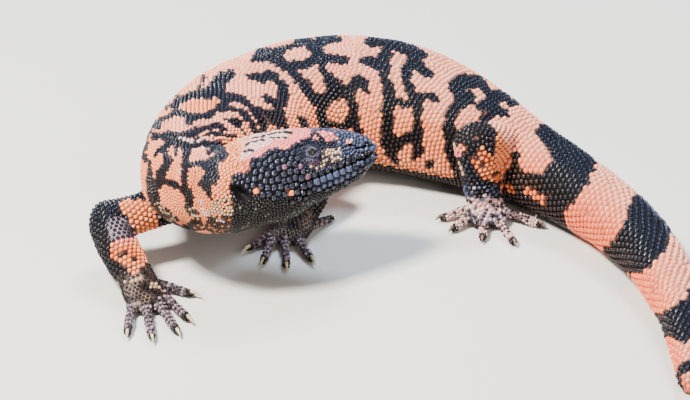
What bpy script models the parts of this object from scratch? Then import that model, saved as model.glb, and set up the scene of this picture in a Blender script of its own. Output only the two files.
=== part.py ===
"""A Gila monster, life size, as a still model that rests on a flat floor.

The animal lies in a wide C. Its belly and tail rest on the floor, its chest is propped on the front legs, and
its neck is bent sharply to its left, so that the head looks back along the flank. The origin is on the floor
under the middle of the belly. +X runs to the tail's side, +Y to the back of the C and +Z is up.
Sizes are written in millimetres times MM, so every value is in metres.
"""

import math
from collections import namedtuple

import bmesh
import bpy
import numpy as np
from mathutils import Matrix, Vector
from mathutils.bvhtree import BVHTree
from mathutils.geometry import intersect_point_line

MM = 0.001
FLOOR = 0.0
GAP = 0.3 * MM
HALF_GAP = GAP / 2

# A station of a long soft part: its centre, its reach to the left, right, up and down, and its roll in degrees.
Station = namedtuple("Station", "x y z left right up down roll")

# The axis of neck, trunk and tail, from the back of the head to the tip of the tail, in millimetres.
BODY = {
    "nape": Station(-49.7, -105.4, 37.4, 12.5, 22.5, 16.6, 17.5, -18),
    "neck_bend": Station(-56.1, -99.3, 36.8, 11, 22, 17, 18.5, -13),
    "neck_base": Station(-59.0, -90, 36, 11.5, 22, 18, 20, -9),
    "shoulder": Station(-57, -71.5, 34, 20.5, 24.5, 20, 22, -3),
    "fore_trunk": Station(-49.5, -46.5, 29.5, 30, 29.5, 23, 26, 0),
    "ribs": Station(-33.5, -17, 25.6, 33, 33, 25, 26, 0),
    "belly": Station(-7, 1, 25, 33.5, 35, 25.4, 25.6, 0),
    "flank": Station(22, -3.5, 24.6, 32.5, 33.5, 24.8, 25.2, 0),
    "loin": Station(42, -14.5, 22.6, 28, 27, 22.5, 23.2, 0),
    "hips": Station(58.5, -27, 20.4, 22.5, 21.5, 20.2, 21, 0),
    "vent": Station(74, -40, 17.2, 17.2, 17.2, 17, 17.8, 0),
    "tail_base": Station(92, -59.5, 14.9, 14.9, 14.9, 14.8, 15.4, 0),
    "tail_fore": Station(106, -78.5, 13.4, 13.5, 13.5, 13.4, 13.9, 0),
    "tail_middle": Station(119.5, -107, 11.6, 11.9, 11.9, 11.8, 12, 0),
    "tail_hind": Station(126.6, -133, 10.1, 10.5, 10.5, 10.3, 10.5, 0),
    "tail_late": Station(130.6, -163, 8.8, 9.0, 9.0, 8.9, 9.1, 0),
    "tail_end": Station(131, -184, 7.1, 7.5, 7.5, 7.3, 7.4, 0),
    "tail_tip": Station(129.8, -199, 5.0, 5.2, 5.2, 5.2, 5.2, 0),
}

# Where the body is parted into lengths, as shares of the way from one named station to the next.
BODY_LENGTHS = (
    ("neck", "nape", "shoulder"),
    ("chest", "shoulder", "ribs"),
    ("trunk", "ribs", "flank"),
    ("pelvis", "flank", "vent"),
    ("tail_1", "vent", "tail_fore"),
    ("tail_2", "tail_fore", "tail_middle"),
    ("tail_3", "tail_middle", "tail_late"),
    ("tail_4", "tail_late", "tail_tip"),
)
# Points round each length, all multiples of three, as every third one is the top of a bead.
BODY_SIDES = {"neck": 30, "chest": 45, "trunk": 45, "pelvis": 36, "tail_1": 24, "tail_2": 21, "tail_3": 18, "tail_4": 12}
BODY_RING_STEP = 3.75 * MM
SECTION_POWER = 2.25
ENVELOPE_RINGS = 80
ENVELOPE_SIDES = 40
ENVELOPE_SHARE = 0.8

# The raised beads: how high they stand, how far down the sides they reach, and how clear of the limbs they stay.
BODY_BEAD = 1.0 * MM
LIMB_BEAD = 0.7 * MM
HEAD_BEAD = 0.7 * MM
BEADED_ANGLE = math.radians(118)
BEAD_CLEARANCE = 4 * MM

# The head, in its own frame: x runs forward from the ears to the snout, z up from the middle of the jaws.
HEAD_ORIGIN = Vector((-45.2, -104.3, 38.2)) * MM
HEAD_YAW = math.radians(14)
HEAD_PITCH = math.radians(11)
HEAD_ROLL = math.radians(-20)
HEAD_RING_STEP = 3.9 * MM
HEAD_MARK_CLEARANCE = 5.2 * MM
HeadStation = namedtuple("HeadStation", "x half_width crown jaw lip_height lip_depth cheek")
HEAD = (
    HeadStation(1, 23.5, 16.8, -17.8, -3.4, 0.0, 2.2),
    HeadStation(8, 25, 17.2, -18.0, -3.2, 0.0, 2.3),
    HeadStation(15, 24.6, 17.2, -18.2, -3.0, 0.0, 2.4),
    HeadStation(21, 23, 16.8, -17.8, -3.0, 0.3, 2.5),
    HeadStation(26, 21, 16, -16.4, -3.1, 1.2, 2.5),
    HeadStation(32, 18.4, 14.6, -15.0, -3.3, 1.3, 2.5),
    HeadStation(38, 16, 12.9, -14.1, -3.3, 1.3, 2.5),
    HeadStation(44, 13.6, 11.2, -13.0, -3.1, 1.2, 2.5),
    HeadStation(49, 11.2, 9.4, -11.6, -2.8, 1.1, 2.4),
    HeadStation(53, 8.6, 7.4, -9.4, -2.6, 0.9, 2.3),
    HeadStation(56, 5.4, 4.9, -6.5, -2.4, 0.6, 2.2),
)
HEAD_SNOUT = (57.5, -1.2)
HEAD_SKEW = math.radians(26)
HEAD_SKEW_FROM = 15 * MM
HEAD_LEFT_SHRINK = 0.22
HEAD_SIDE_POINTS_ABOVE_LIP = 6
HEAD_SIDE_POINTS_BELOW_LIP = 5
LIP_HALF_HEIGHT = 0.9 * MM
LIP_SWELL = 0.4 * MM

EYE_X = 32.7 * MM
EYE_Z = 6.3 * MM
EYE_RADIUS = 2.3 * MM
LID_RADIUS = 2.5 * MM
LID_THICKNESS = 0.75 * MM
NOSTRIL_X = 49.5 * MM
NOSTRIL_Z = 3.4 * MM
NOSTRIL_RADIUS = 1.0 * MM
EAR_X = 0.5 * MM
EAR_Z = 0.5 * MM
EAR_RADII = (2.4 * MM, 3.0 * MM, 4.2 * MM)

# A limb's joints in millimetres, each with the half sizes of the flesh there. The third is the elbow or knee and
# the fifth the wrist or ankle, and the last lies at the roots of the toes.
LimbJoint = namedtuple("LimbJoint", "x y z wide thick")
Limb = namedtuple("Limb", "upper lower foot joints digits claw_length")
# A toe's root on the palm, the direction that it points in degrees from +X, and its length without the claw.
Digit = namedtuple("Digit", "x y direction length")

LIMBS = (
    Limb(
        "upper_arm_right", "forearm_right", "hand_right",
        (
            LimbJoint(-62, -84, 25, 8.4, 8.4),
            LimbJoint(-79, -93.5, 22, 7.6, 7.6),
            LimbJoint(-94, -98.5, 20, 8.0, 8.0),
            LimbJoint(-90, -110, 14.5, 8.0, 8.0),
            LimbJoint(-83, -121.5, 8.2, 7.0, 6.4),
            LimbJoint(-80, -129, 5.4, 7.8, 4.8),
            LimbJoint(-77.5, -135.5, 3.8, 8.2, 3.4),
        ),
        (
            Digit(-74.5, -120.5, -21, 15),
            Digit(-72, -129, -57, 20),
            Digit(-74, -134.5, -67, 23.5),
            Digit(-78.5, -136.5, -80, 25),
            Digit(-83.5, -135, -91, 22.5),
        ),
        6.0,
    ),
    Limb(
        "upper_arm_left", "forearm_left", "hand_left",
        (
            LimbJoint(-46, -68, 25, 8.4, 8.4),
            LimbJoint(-28, -60, 22, 7.6, 7.6),
            LimbJoint(-13, -54.5, 20, 8.0, 8.0),
            LimbJoint(-15, -61, 14, 8.0, 8.0),
            LimbJoint(-18, -67, 8.2, 7.0, 6.4),
            LimbJoint(-20.5, -73, 5.4, 7.8, 4.8),
            LimbJoint(-23, -79, 3.8, 8.2, 3.4),
        ),
        (
            Digit(-28, -75.5, 228, 16),
            Digit(-28.5, -79, 257, 20),
            Digit(-24.5, -81, 273, 21.5),
            Digit(-20, -80.5, 292, 18),
            Digit(-17.5, -75, 50, 18.5),
        ),
        6.0,
    ),
    Limb(
        "thigh_left", "shank_left", "foot_left",
        (
            LimbJoint(69, -36, 22, 11, 11),
            LimbJoint(61.5, -46.5, 28, 9.8, 9.8),
            LimbJoint(53.5, -56, 33.5, 8.8, 8.8),
            LimbJoint(55, -57, 21.5, 8.2, 8.2),
            LimbJoint(57, -57, 10.4, 7.2, 7.0),
            LimbJoint(57.5, -60, 6.2, 8.0, 5.4),
            LimbJoint(58, -64, 4.2, 8.4, 3.9),
        ),
        (
            Digit(51, -56.5, 201, 12),
            Digit(52.5, -61, 229, 13),
            Digit(57, -65, 265, 14),
            Digit(62, -64.5, 290, 19),
            Digit(65, -58.5, 331, 17.5),
        ),
        4.0,
    ),
    Limb(
        "thigh_right", "shank_right", "foot_right",
        (
            LimbJoint(63, -20, 19, 11, 11),
            LimbJoint(60.5, -6, 17.5, 9.8, 9.8),
            LimbJoint(57, 8, 15, 8.8, 8.8),
            LimbJoint(52.5, 15, 12, 8.2, 8.2),
            LimbJoint(48.5, 21.5, 8.4, 7.2, 7.0),
            LimbJoint(47, 27, 5.6, 8.0, 5.2),
            LimbJoint(46, 33, 4.2, 8.8, 3.9),
        ),
        (
            Digit(39, 28, 152, 13),
            Digit(41, 33, 124, 15),
            Digit(45, 35, 99, 16),
            Digit(49.5, 34, 78, 16),
            Digit(53, 29.5, 60, 14),
        ),
        4.0,
    ),
)
TOE_RADIUS = 1.75
LIMB_SIDES = 12
LIMB_RING_STEP = 3.7 * MM
DOME_ANGLES = tuple(math.radians(angle) for angle in (25, 50, 72))
DIGIT_SIDES = 8
CLAW_SIDES = 6


def srgb(red, green, blue):
    """A colour given as 0 to 255 values, as the linear values that a material takes."""
    def linear(value):
        share = value / 255
        return share / 12.92 if share <= 0.04045 else ((share + 0.055) / 1.055) ** 2.4
    return (linear(red), linear(green), linear(blue), 1.0)


def make_material(name, colour, roughness):
    material = bpy.data.materials.new(name)
    material.use_nodes = True
    shader = material.node_tree.nodes["Principled BSDF"]
    shader.inputs["Base Color"].default_value = colour
    shader.inputs["Roughness"].default_value = roughness
    shader.inputs["Metallic"].default_value = 0.0
    return material


class Path:
    """A smooth curve through named stations, with every size interpolated along it by distance."""

    def __init__(self, rows):
        self.rows = np.array(rows, float)
        steps = np.linalg.norm(np.diff(self.rows[:, :3], axis=0), axis=1)
        self.knots = np.concatenate([[0.0], np.cumsum(steps)])
        self.slopes = self._slopes()
        self.length = self.knots[-1]

    def _slopes(self):
        """Slopes at the stations for a cubic curve, those of a parabola through each three neighbours."""
        spans = np.diff(self.knots)[:, None]
        steepness = np.diff(self.rows, axis=0) / spans
        slopes = np.empty_like(self.rows)
        before, after = spans[:-1], spans[1:]
        slopes[1:-1] = (steepness[:-1] * after + steepness[1:] * before) / (before + after)
        slopes[0] = 2 * steepness[0] - slopes[1]
        slopes[-1] = 2 * steepness[-1] - slopes[-2]
        return slopes

    def at(self, distance):
        """All of a station's values, at a distance along the path."""
        span = int(np.clip(np.searchsorted(self.knots, distance, side="right") - 1, 0, len(self.knots) - 2))
        width = self.knots[span + 1] - self.knots[span]
        t = (distance - self.knots[span]) / width
        start, end = self.rows[span], self.rows[span + 1]
        return (
            start * (2 * t**3 - 3 * t**2 + 1)
            + self.slopes[span] * width * (t**3 - 2 * t**2 + t)
            + end * (3 * t**2 - 2 * t**3)
            + self.slopes[span + 1] * width * (t**3 - t**2)
        )

    def tangent(self, distance):
        step = 1e-4
        low, high = max(0.0, distance - step), min(self.length, distance + step)
        return Vector(self.at(high)[:3] - self.at(low)[:3]).normalized()


def body_path():
    """The path of neck, trunk and tail, in metres and with its roll in radians."""
    rows = [
        [value * MM for value in station[:7]] + [math.radians(station.roll)]
        for station in BODY.values()
    ]
    return Path(rows)


def body_frame(path, distance):
    """Centre, left, up and tail-ward directions of the body at a distance behind the head."""
    backward = path.tangent(distance)
    left = Vector((0, 0, 1)).cross(-backward).normalized()
    up = (-backward).cross(left).normalized()
    row = path.at(distance)
    roll = row[7]
    turned_left = left * math.cos(roll) + up * math.sin(roll)
    turned_up = up * math.cos(roll) - left * math.sin(roll)
    return Vector(row[:3]), turned_left, turned_up, backward


def head_axes():
    """Forward, left and up directions of the head."""
    turn = (
        Matrix.Rotation(HEAD_YAW, 3, "Z")
        @ Matrix.Rotation(-HEAD_PITCH, 3, "Y")
        @ Matrix.Rotation(HEAD_ROLL, 3, "X")
    )
    return turn.col[0].copy(), turn.col[1].copy(), turn.col[2].copy()


def rounded(angle, left, right, up, down, power=SECTION_POWER):
    """A point of a soft section: how far left and up it lies, for an angle that runs from the back to the left."""
    side, height = math.sin(angle), math.cos(angle)
    across = math.copysign(abs(side) ** (2 / power), side) * (left if side > 0 else right)
    above = math.copysign(abs(height) ** (2 / power), height) * (up if height > 0 else down)
    return across, above


def is_bead(row, i):
    """Whether a point is the top of a bead, where odd rows are set half a step on."""
    return i % 3 == row % 2


def body_ring(path, distance, sides, shift=0.0, grow=0.0, row_index=0, bead=None):
    """One ring of points round the body, pressed flat where it meets the floor."""
    centre, left, up, backward = body_frame(path, distance)
    row = path.at(distance)
    turn = 0.5 * (row_index % 2)
    ring = []
    for i in range(sides):
        angle = math.remainder(2 * math.pi * (i + turn) / sides, 2 * math.pi)
        across, above = rounded(angle, *(value + grow for value in row[3:7]))
        point = centre + left * across + up * above + backward * shift
        if bead:
            outward = (point - centre).normalized()
            point += outward * bead(row_index, i, angle, point)
        point.z = max(point.z, FLOOR - grow)
        ring.append(point)
    return ring


def bands(near, far, row_index):
    """Triangles between two rings whose points are set half a step apart."""
    sides = len(near)
    for i in range(sides):
        j = (i + 1) % sides
        if row_index % 2 == 0:
            yield near[i], near[j], far[i]
            yield near[j], far[j], far[i]
        else:
            yield near[i], near[j], far[j]
            yield near[i], far[j], far[i]


def skin_rings(shape, rings, closed_tip=None, staggered=False):
    """Joins rings of equal count with faces, and closes both ends. A tip point closes the last ring to a point."""
    loops = [[shape.verts.new(point) for point in ring] for ring in rings]
    sides = len(loops[0])
    for index, (near, far) in enumerate(zip(loops, loops[1:])):
        if staggered:
            for corners in bands(near, far, index):
                shape.faces.new(corners)
            continue
        for i in range(sides):
            j = (i + 1) % sides
            shape.faces.new((near[i], near[j], far[j], far[i]))
    shape.faces.new(list(reversed(loops[0])))
    if closed_tip is None:
        shape.faces.new(loops[-1])
    else:
        tip = shape.verts.new(closed_tip)
        for i in range(sides):
            shape.faces.new((loops[-1][i], loops[-1][(i + 1) % sides], tip))


def object_from(shape, name, material, collection):
    """A smooth-shaded object from a bmesh, with its faces pointing outwards."""
    bmesh.ops.triangulate(shape, faces=shape.faces[:])
    bmesh.ops.recalc_face_normals(shape, faces=shape.faces[:])
    mesh = bpy.data.meshes.new(name)
    shape.to_mesh(mesh)
    shape.free()
    mesh.materials.append(material)
    mesh.shade_smooth()
    made = bpy.data.objects.new(name, mesh)
    collection.objects.link(made)
    return made


def fused(name, first, others, material, collection, operation="UNION"):
    """Joins or cuts pieces in one Boolean, applies it, and keeps the largest closed surface of the result."""
    group = bpy.data.collections.new(name + "_pieces")
    bpy.context.scene.collection.children.link(group)
    for piece in others:
        for owner in list(piece.users_collection):
            owner.objects.unlink(piece)
        group.objects.link(piece)
    boolean = first.modifiers.new("fuse", "BOOLEAN")
    boolean.operation = operation
    boolean.operand_type = "COLLECTION"
    boolean.collection = group
    boolean.solver = "EXACT"
    bpy.context.view_layer.update()
    mesh = bpy.data.meshes.new_from_object(first.evaluated_get(bpy.context.evaluated_depsgraph_get()))
    for piece in list(group.objects):
        bpy.data.objects.remove(piece)
    bpy.data.collections.remove(group)
    bpy.data.objects.remove(first)
    shape = bmesh.new()
    shape.from_mesh(mesh)
    bpy.data.meshes.remove(mesh)
    keep_largest_surface(shape)
    return object_from(shape, name, material, collection)


def keep_largest_surface(shape):
    """Removes every connected part but the one that holds the most volume."""
    unseen = set(shape.verts)
    parts = []
    while unseen:
        start = unseen.pop()
        part, front = {start}, [start]
        while front:
            for edge in front.pop().link_edges:
                for vert in edge.verts:
                    if vert in unseen:
                        unseen.discard(vert)
                        part.add(vert)
                        front.append(vert)
        parts.append(part)
    parts.sort(key=box_volume, reverse=True)
    spare = [vert for part in parts[1:] for vert in part]
    bmesh.ops.delete(shape, geom=spare, context="VERTS")


def box_volume(verts):
    points = np.array([vert.co for vert in verts])
    return float(np.prod(points.max(axis=0) - points.min(axis=0)))


def limb_clearance(point):
    """How far a point is from the flesh of the nearest limb."""
    nearest = math.inf
    for limb in LIMBS:
        for start, end in zip(limb.joints, limb.joints[1:]):
            foot, share = intersect_point_line(point, Vector(start[:3]) * MM, Vector(end[:3]) * MM)
            foot = Vector(start[:3]).lerp(Vector(end[:3]), min(1.0, max(0.0, share))) * MM
            nearest = min(nearest, (point - foot).length - start.wide * MM)
    return nearest


def body_bead(first_row, last_row, size, folded):
    """How far each point of a length of the body is raised. Its end rings and the fold of the neck stay plain."""
    def raised(row_index, i, angle, point):
        plain = row_index in (first_row, last_row) or not is_bead(row_index, i) or abs(angle) > BEADED_ANGLE
        creased = folded and (row_index < 3 or angle > math.radians(15))
        if plain or creased or limb_clearance(point) < BEAD_CLEARANCE:
            return 0.0
        return size
    return raised


def build_body(collection, material):
    """Neck, trunk and tail: one rounded form, parted by thin cuts square to its axis."""
    path = body_path()
    place = dict(zip(BODY, path.knots))
    for name, start, end in BODY_LENGTHS:
        begin, finish = place[start], place[end]
        sides = BODY_SIDES[name]
        step = BODY_RING_STEP if sides > 24 else 2 * math.pi * path.at(begin)[3] / sides * 0.87
        count = max(3, round((finish - begin) / step) + 1)
        bead = body_bead(0, count - 1, BODY_BEAD, name == "neck")
        rings = []
        for i in range(count):
            distance = begin + (finish - begin) * i / (count - 1)
            shift = HALF_GAP if i == 0 else -HALF_GAP if i == count - 1 and end != "tail_tip" else 0.0
            rings.append(body_ring(path, distance, sides, shift, 0.0, i, bead))
        tip = None
        if end == "tail_tip":
            centre, _, _, backward = body_frame(path, finish)
            tip = centre + backward * BODY["tail_tip"].left * MM
            tip.z = BODY["tail_tip"].z * MM * 0.6
        shape = bmesh.new()
        skin_rings(shape, rings, tip, staggered=True)
        object_from(shape, name, material, collection)


def body_envelope(name, grow):
    """The body without its parting cuts and a little larger, for cutting the limbs clear of it."""
    path = body_path()
    rings = []
    for i in range(ENVELOPE_RINGS):
        distance = path.length * ENVELOPE_SHARE * i / (ENVELOPE_RINGS - 1)
        rings.append(body_ring(path, distance, ENVELOPE_SIDES, grow=grow))
    shape = bmesh.new()
    skin_rings(shape, rings)
    return object_from(shape, name, None, bpy.context.scene.collection)


def head_stations():
    """The head's stations, evenly spaced along smooth curves through the measured ones."""
    measured = np.array([[station.x] + list(station) for station in HEAD])
    curve = Path(np.column_stack([measured[:, :1], np.zeros((len(HEAD), 2)), measured[:, 1:]]) * 1.0)
    count = round(curve.length * MM / HEAD_RING_STEP) + 1
    return [HeadStation(*curve.at(curve.length * i / (count - 1))[3:]) for i in range(count)]


def head_half_section(station):
    """The left side of the head at a station, from crown to throat, with the lips and the mouth line between."""
    width = station.half_width * MM
    lip = station.lip_height * MM
    crown, jaw = station.crown * MM, station.jaw * MM
    swell = LIP_SWELL if station.lip_depth > 0.2 else 0.0

    def reach(height):
        """How far out the side stands at a height."""
        share = (height - lip) / (crown - lip) if height > lip else (height - lip) / (jaw - lip)
        return width * max(0.0, 1 - share**station.cheek) ** (1 / station.cheek)

    points = []
    for i in range(HEAD_SIDE_POINTS_ABOVE_LIP + 1):
        angle = math.pi / 2 * i / (HEAD_SIDE_POINTS_ABOVE_LIP + 0.6)
        height = lip + (crown - lip) * math.cos(angle) ** (2 / station.cheek)
        points.append((reach(height) if i else 0.0, height))
    rim = min(LIP_HALF_HEIGHT, 0.12 * (crown - jaw))
    points.append((width + swell, lip + rim))
    points.append((width - max(0.0, station.lip_depth) * MM, lip))
    points.append((width + swell * 0.6, lip - rim))
    for i in range(HEAD_SIDE_POINTS_BELOW_LIP, -1, -1):
        angle = math.pi / 2 * i / (HEAD_SIDE_POINTS_BELOW_LIP + 0.6)
        height = lip + (jaw - lip) * math.cos(angle) ** (2 / station.cheek)
        points.append((reach(height) if i else 0.0, height))
    return points


def head_point(x, across, above):
    """A point of the head's own frame, in the animal's frame."""
    forward, left, up = head_axes()
    return HEAD_ORIGIN + forward * x + left * across + up * above


def head_bead(station, index, i, across, above):
    """How far a point of the head is raised: every second one, clear of lips, eyes, ears and nostrils."""
    if index < 2 or (index + i) % 2 or above < (station.lip_height + 2.5) * MM:
        return 0.0
    marks = ((EYE_X, EYE_Z), (NOSTRIL_X, NOSTRIL_Z), (EAR_X, EAR_Z))
    beside = abs(across) > 0.4 * station.half_width * MM
    if beside and any(math.hypot(station.x * MM - x, above - z) < HEAD_MARK_CLEARANCE for x, z in marks):
        return 0.0
    return HEAD_BEAD


def head_ring(station, index):
    """One ring round the head. The hindmost ones turn towards the neck, which is bent to the left."""
    x = station.x * MM
    first = HEAD[0].x * MM
    skew = HEAD_SKEW * max(0.0, (HEAD_SKEW_FROM - x) / (HEAD_SKEW_FROM - first))
    shrink = 1 - HEAD_LEFT_SHRINK * skew / HEAD_SKEW
    half = head_half_section(station)
    outline = [(across * shrink, above) for across, above in half]
    outline += [(-across, above) for across, above in reversed(half[1:-1])]
    ring = []
    for i, (across, above) in enumerate(outline):
        raised = 1 + head_bead(station, index, i, across, above) / (station.half_width * MM)
        ring.append(head_point(x + across * math.tan(skew), across * raised, above * raised))
    return ring


def head_surface(tree, x, z, side):
    """How far out the head's side stands at a place along it and a height."""
    outside = head_point(x, side * 80 * MM, z)
    inward = head_point(x, 0.0, z) - outside
    hit = tree.ray_cast(outside, inward.normalized())[0]
    return 80 * MM - (hit - outside).length


def head_cutter(name, x, across, above, radii):
    """An egg-shaped cutter, its long axes along, across and up the head."""
    shape = bmesh.new()
    bmesh.ops.create_uvsphere(shape, u_segments=12, v_segments=8, radius=1.0)
    for vert in shape.verts:
        vert.co = head_point(x + vert.co.x * radii[0], across + vert.co.y * radii[1], above + vert.co.z * radii[2])
    return object_from(shape, name, None, bpy.context.scene.collection)


def build_head(collection, materials):
    rings = [head_ring(station, i) for i, station in enumerate(head_stations())]
    rings.insert(0, body_ring(body_path(), 0.0, len(rings[0]), shift=-HALF_GAP))
    shape = bmesh.new()
    skin_rings(shape, rings, head_point(HEAD_SNOUT[0] * MM, 0.0, HEAD_SNOUT[1] * MM))
    tree = BVHTree.FromBMesh(shape)
    head = object_from(shape, "head_block", materials["skin"], collection)
    cutters, lids = [], []
    for side in (1, -1):
        eye_across = side * (head_surface(tree, EYE_X, EYE_Z, side) - 1.0 * MM)
        ear_across = side * (head_surface(tree, EAR_X, EAR_Z, side) + 0.4 * MM)
        nostril_across = side * head_surface(tree, NOSTRIL_X, NOSTRIL_Z, side)
        socket = EYE_RADIUS + GAP
        cutters.append(head_cutter("socket", EYE_X, eye_across, EYE_Z, (socket, socket, socket)))
        cutters.append(head_cutter("ear_cup", EAR_X, ear_across, EAR_Z, EAR_RADII))
        cutters.append(head_cutter("nostril", NOSTRIL_X, nostril_across, NOSTRIL_Z, (NOSTRIL_RADIUS,) * 3))
        lids.append(eye_lid(side, eye_across))
        build_eye(side, eye_across, collection, materials["eye"])
    head = fused("head_lidded", head, lids, materials["skin"], collection)
    fused("head", head, cutters, materials["skin"], collection, "DIFFERENCE")


def side_facing(side):
    """The directions along, up and out of the head at an eye, the last leaning a little upwards."""
    forward, left, up = head_axes()
    out = (left * side * 0.93 + up * 0.25 + forward * 0.22).normalized()
    along = (forward - out * forward.dot(out)).normalized()
    return along, out.cross(along).normalized(), out


def eye_lid(side, across):
    """A ring of lid round an eye, longer than it is high."""
    along, above, out = side_facing(side)
    centre = head_point(EYE_X, across, EYE_Z) + out * EYE_RADIUS * 0.52
    around, thick = 16, 6
    rings = []
    for i in range(around):
        angle = 2 * math.pi * i / around
        spoke = along * math.cos(angle) * 1.12 + above * math.sin(angle) * 0.92
        ring = []
        for j in range(thick):
            turn = 2 * math.pi * j / thick
            reach = LID_RADIUS + LID_THICKNESS * math.cos(turn)
            ring.append(centre + spoke * reach + out * LID_THICKNESS * math.sin(turn))
        rings.append(ring)
    shape = bmesh.new()
    loops = [[shape.verts.new(point) for point in ring] for ring in rings]
    for i in range(around):
        near, far = loops[i], loops[(i + 1) % around]
        for j in range(thick):
            k = (j + 1) % thick
            shape.faces.new((near[j], near[k], far[k], far[j]))
    return object_from(shape, "lid", None, bpy.context.scene.collection)


def build_eye(side, across, collection, material):
    """An eyeball that fills its socket but for the gap."""
    name = "eye_left" if side > 0 else "eye_right"
    shape = bmesh.new()
    bmesh.ops.create_uvsphere(shape, u_segments=14, v_segments=9, radius=EYE_RADIUS)
    centre = head_point(EYE_X, across, EYE_Z)
    bmesh.ops.translate(shape, verts=shape.verts[:], vec=centre)
    return object_from(shape, name, material, collection)


def limb_frames(path, distances):
    """Frames along a limb, carried back from its far end, where its upper side faces up."""
    frames = []
    up = Vector((0, 0, 1))
    for distance in reversed(distances):
        forward = path.tangent(distance)
        up = (up - forward * up.dot(forward)).normalized()
        side = up.cross(forward).normalized()
        frames.append((Vector(path.at(distance)[:3]), side, up, forward))
    return frames[::-1]


def limb_ring(centre, side, up, wide, thick, sides, row_index=0, bead=0.0):
    """One ring round a limb, with a bead raised at every third point."""
    ring = []
    for i in range(sides):
        angle = 2 * math.pi * (i + 0.5 * (row_index % 2)) / sides
        raised = bead if is_bead(row_index, i) else 0.0
        across, above = rounded(angle, *(wide + raised,) * 2, *(thick + raised,) * 2, 2.15)
        point = centre + side * across + up * above
        point.z = max(point.z, FLOOR)
        ring.append(point)
    return ring


def tube(name, path, step, sides, domed_start=False, domed_end=False, tip=0.0, bead=0.0):
    """A rounded tube along a path. Either end can carry on straight into a dome, or the far one close to a tip."""
    count = max(3, round(path.length / step) + 1)
    distances = [path.length * i / (count - 1) for i in range(count)]
    frames = limb_frames(path, distances)
    rings = []
    lead = len(DOME_ANGLES) if domed_start else 0
    for row_index, (distance, (centre, side, up, forward)) in enumerate(zip(distances, frames), start=lead):
        wide, thick = path.at(distance)[3:5]
        inner = 0 < row_index - lead < count - 1
        rings.append(limb_ring(centre, side, up, wide, thick, sides, row_index, bead if inner else 0.0))
    for wanted, index in ((domed_start, 0), (domed_end, -1)):
        if not wanted:
            continue
        centre, side, up, forward = frames[index]
        outward = forward if index else -forward
        wide, thick = path.at(distances[index])[3:5]
        for step_out, angle in enumerate(DOME_ANGLES, start=1):
            middle = centre + outward * (wide + thick) / 2 * math.sin(angle)
            row_index = len(rings) if index else lead - step_out
            raised = bead if step_out == 1 else 0.0
            sizes = wide * math.cos(angle), thick * math.cos(angle)
            ring = limb_ring(middle, side, up, *sizes, sides, row_index, raised)
            rings.insert(len(rings) if index else 0, ring)
    point = None
    if tip:
        centre, _, _, forward = frames[-1]
        point = centre + forward * tip
        point.z = max(point.z, FLOOR + 0.4 * MM)
    shape = bmesh.new()
    skin_rings(shape, rings, point, staggered=True)
    return object_from(shape, name, None, bpy.context.scene.collection)


def half_space(centre, normal):
    """A block that fills the space on one side of a plane, for cutting a limb at a joint."""
    size = 60 * MM
    turn = normal.to_track_quat("Z", "Y").to_matrix()
    shape = bmesh.new()
    bmesh.ops.create_cube(shape, size=1.0)
    for vert in shape.verts:
        local = Vector((vert.co.x * 2 * size, vert.co.y * 2 * size, (vert.co.z + 0.5) * size))
        vert.co = centre + turn @ local + normal * -HALF_GAP
    return object_from(shape, "half_space", None, bpy.context.scene.collection)


def digit_path(digit):
    """A toe's path, from inside the palm over its knuckle to the floor."""
    angle = math.radians(digit.direction)
    profile = ((-4, 3.2, 1.0), (0.1, 3.5, 1.05), (0.45, 3.1, 0.95), (0.8, 2.1, 0.98), (1.0, 1.9, 0.85))
    rows = []
    for share, height, size in profile:
        reach = share if share < 0 else share * digit.length
        x, y = digit.x + reach * math.cos(angle), digit.y + reach * math.sin(angle)
        rows.append([value * MM for value in (x, y, height, TOE_RADIUS * size, TOE_RADIUS * size)])
    return Path(rows)


def claw_path(digit, length):
    """A claw's path, from inside the toe's end forward and down to just above the floor."""
    angle = math.radians(digit.direction)
    profile = ((0.0, 2.2, 1.05), (0.35, 2.7, 0.95), (0.7, 2.0, 0.65), (1.0, 0.7, 0.28))
    rows = []
    for share, height, radius in profile:
        reach = digit.length * 0.94 + length * share
        x, y = digit.x + reach * math.cos(angle), digit.y + reach * math.sin(angle)
        rows.append([value * MM for value in (x, y, height, radius, radius)])
    return Path(rows)


def build_foot(limb, path, cutters, collection, material):
    """A palm with its five toes and claws, fused into one piece."""
    palm = tube("palm", path, 2.6 * MM, LIMB_SIDES, domed_start=True, tip=3 * MM)
    pieces = []
    for digit in limb.digits:
        toe = digit_path(digit)
        claw = claw_path(digit, limb.claw_length)
        pieces.append(tube("toe", toe, 3.2 * MM, DIGIT_SIDES, tip=1.2 * MM))
        pieces.append(tube("claw", claw, 1.8 * MM, CLAW_SIDES, tip=0.5 * MM))
    foot = fused("whole_foot", palm, pieces, material, collection)
    fused(limb.foot, foot, cutters, material, collection, "DIFFERENCE")


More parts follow.
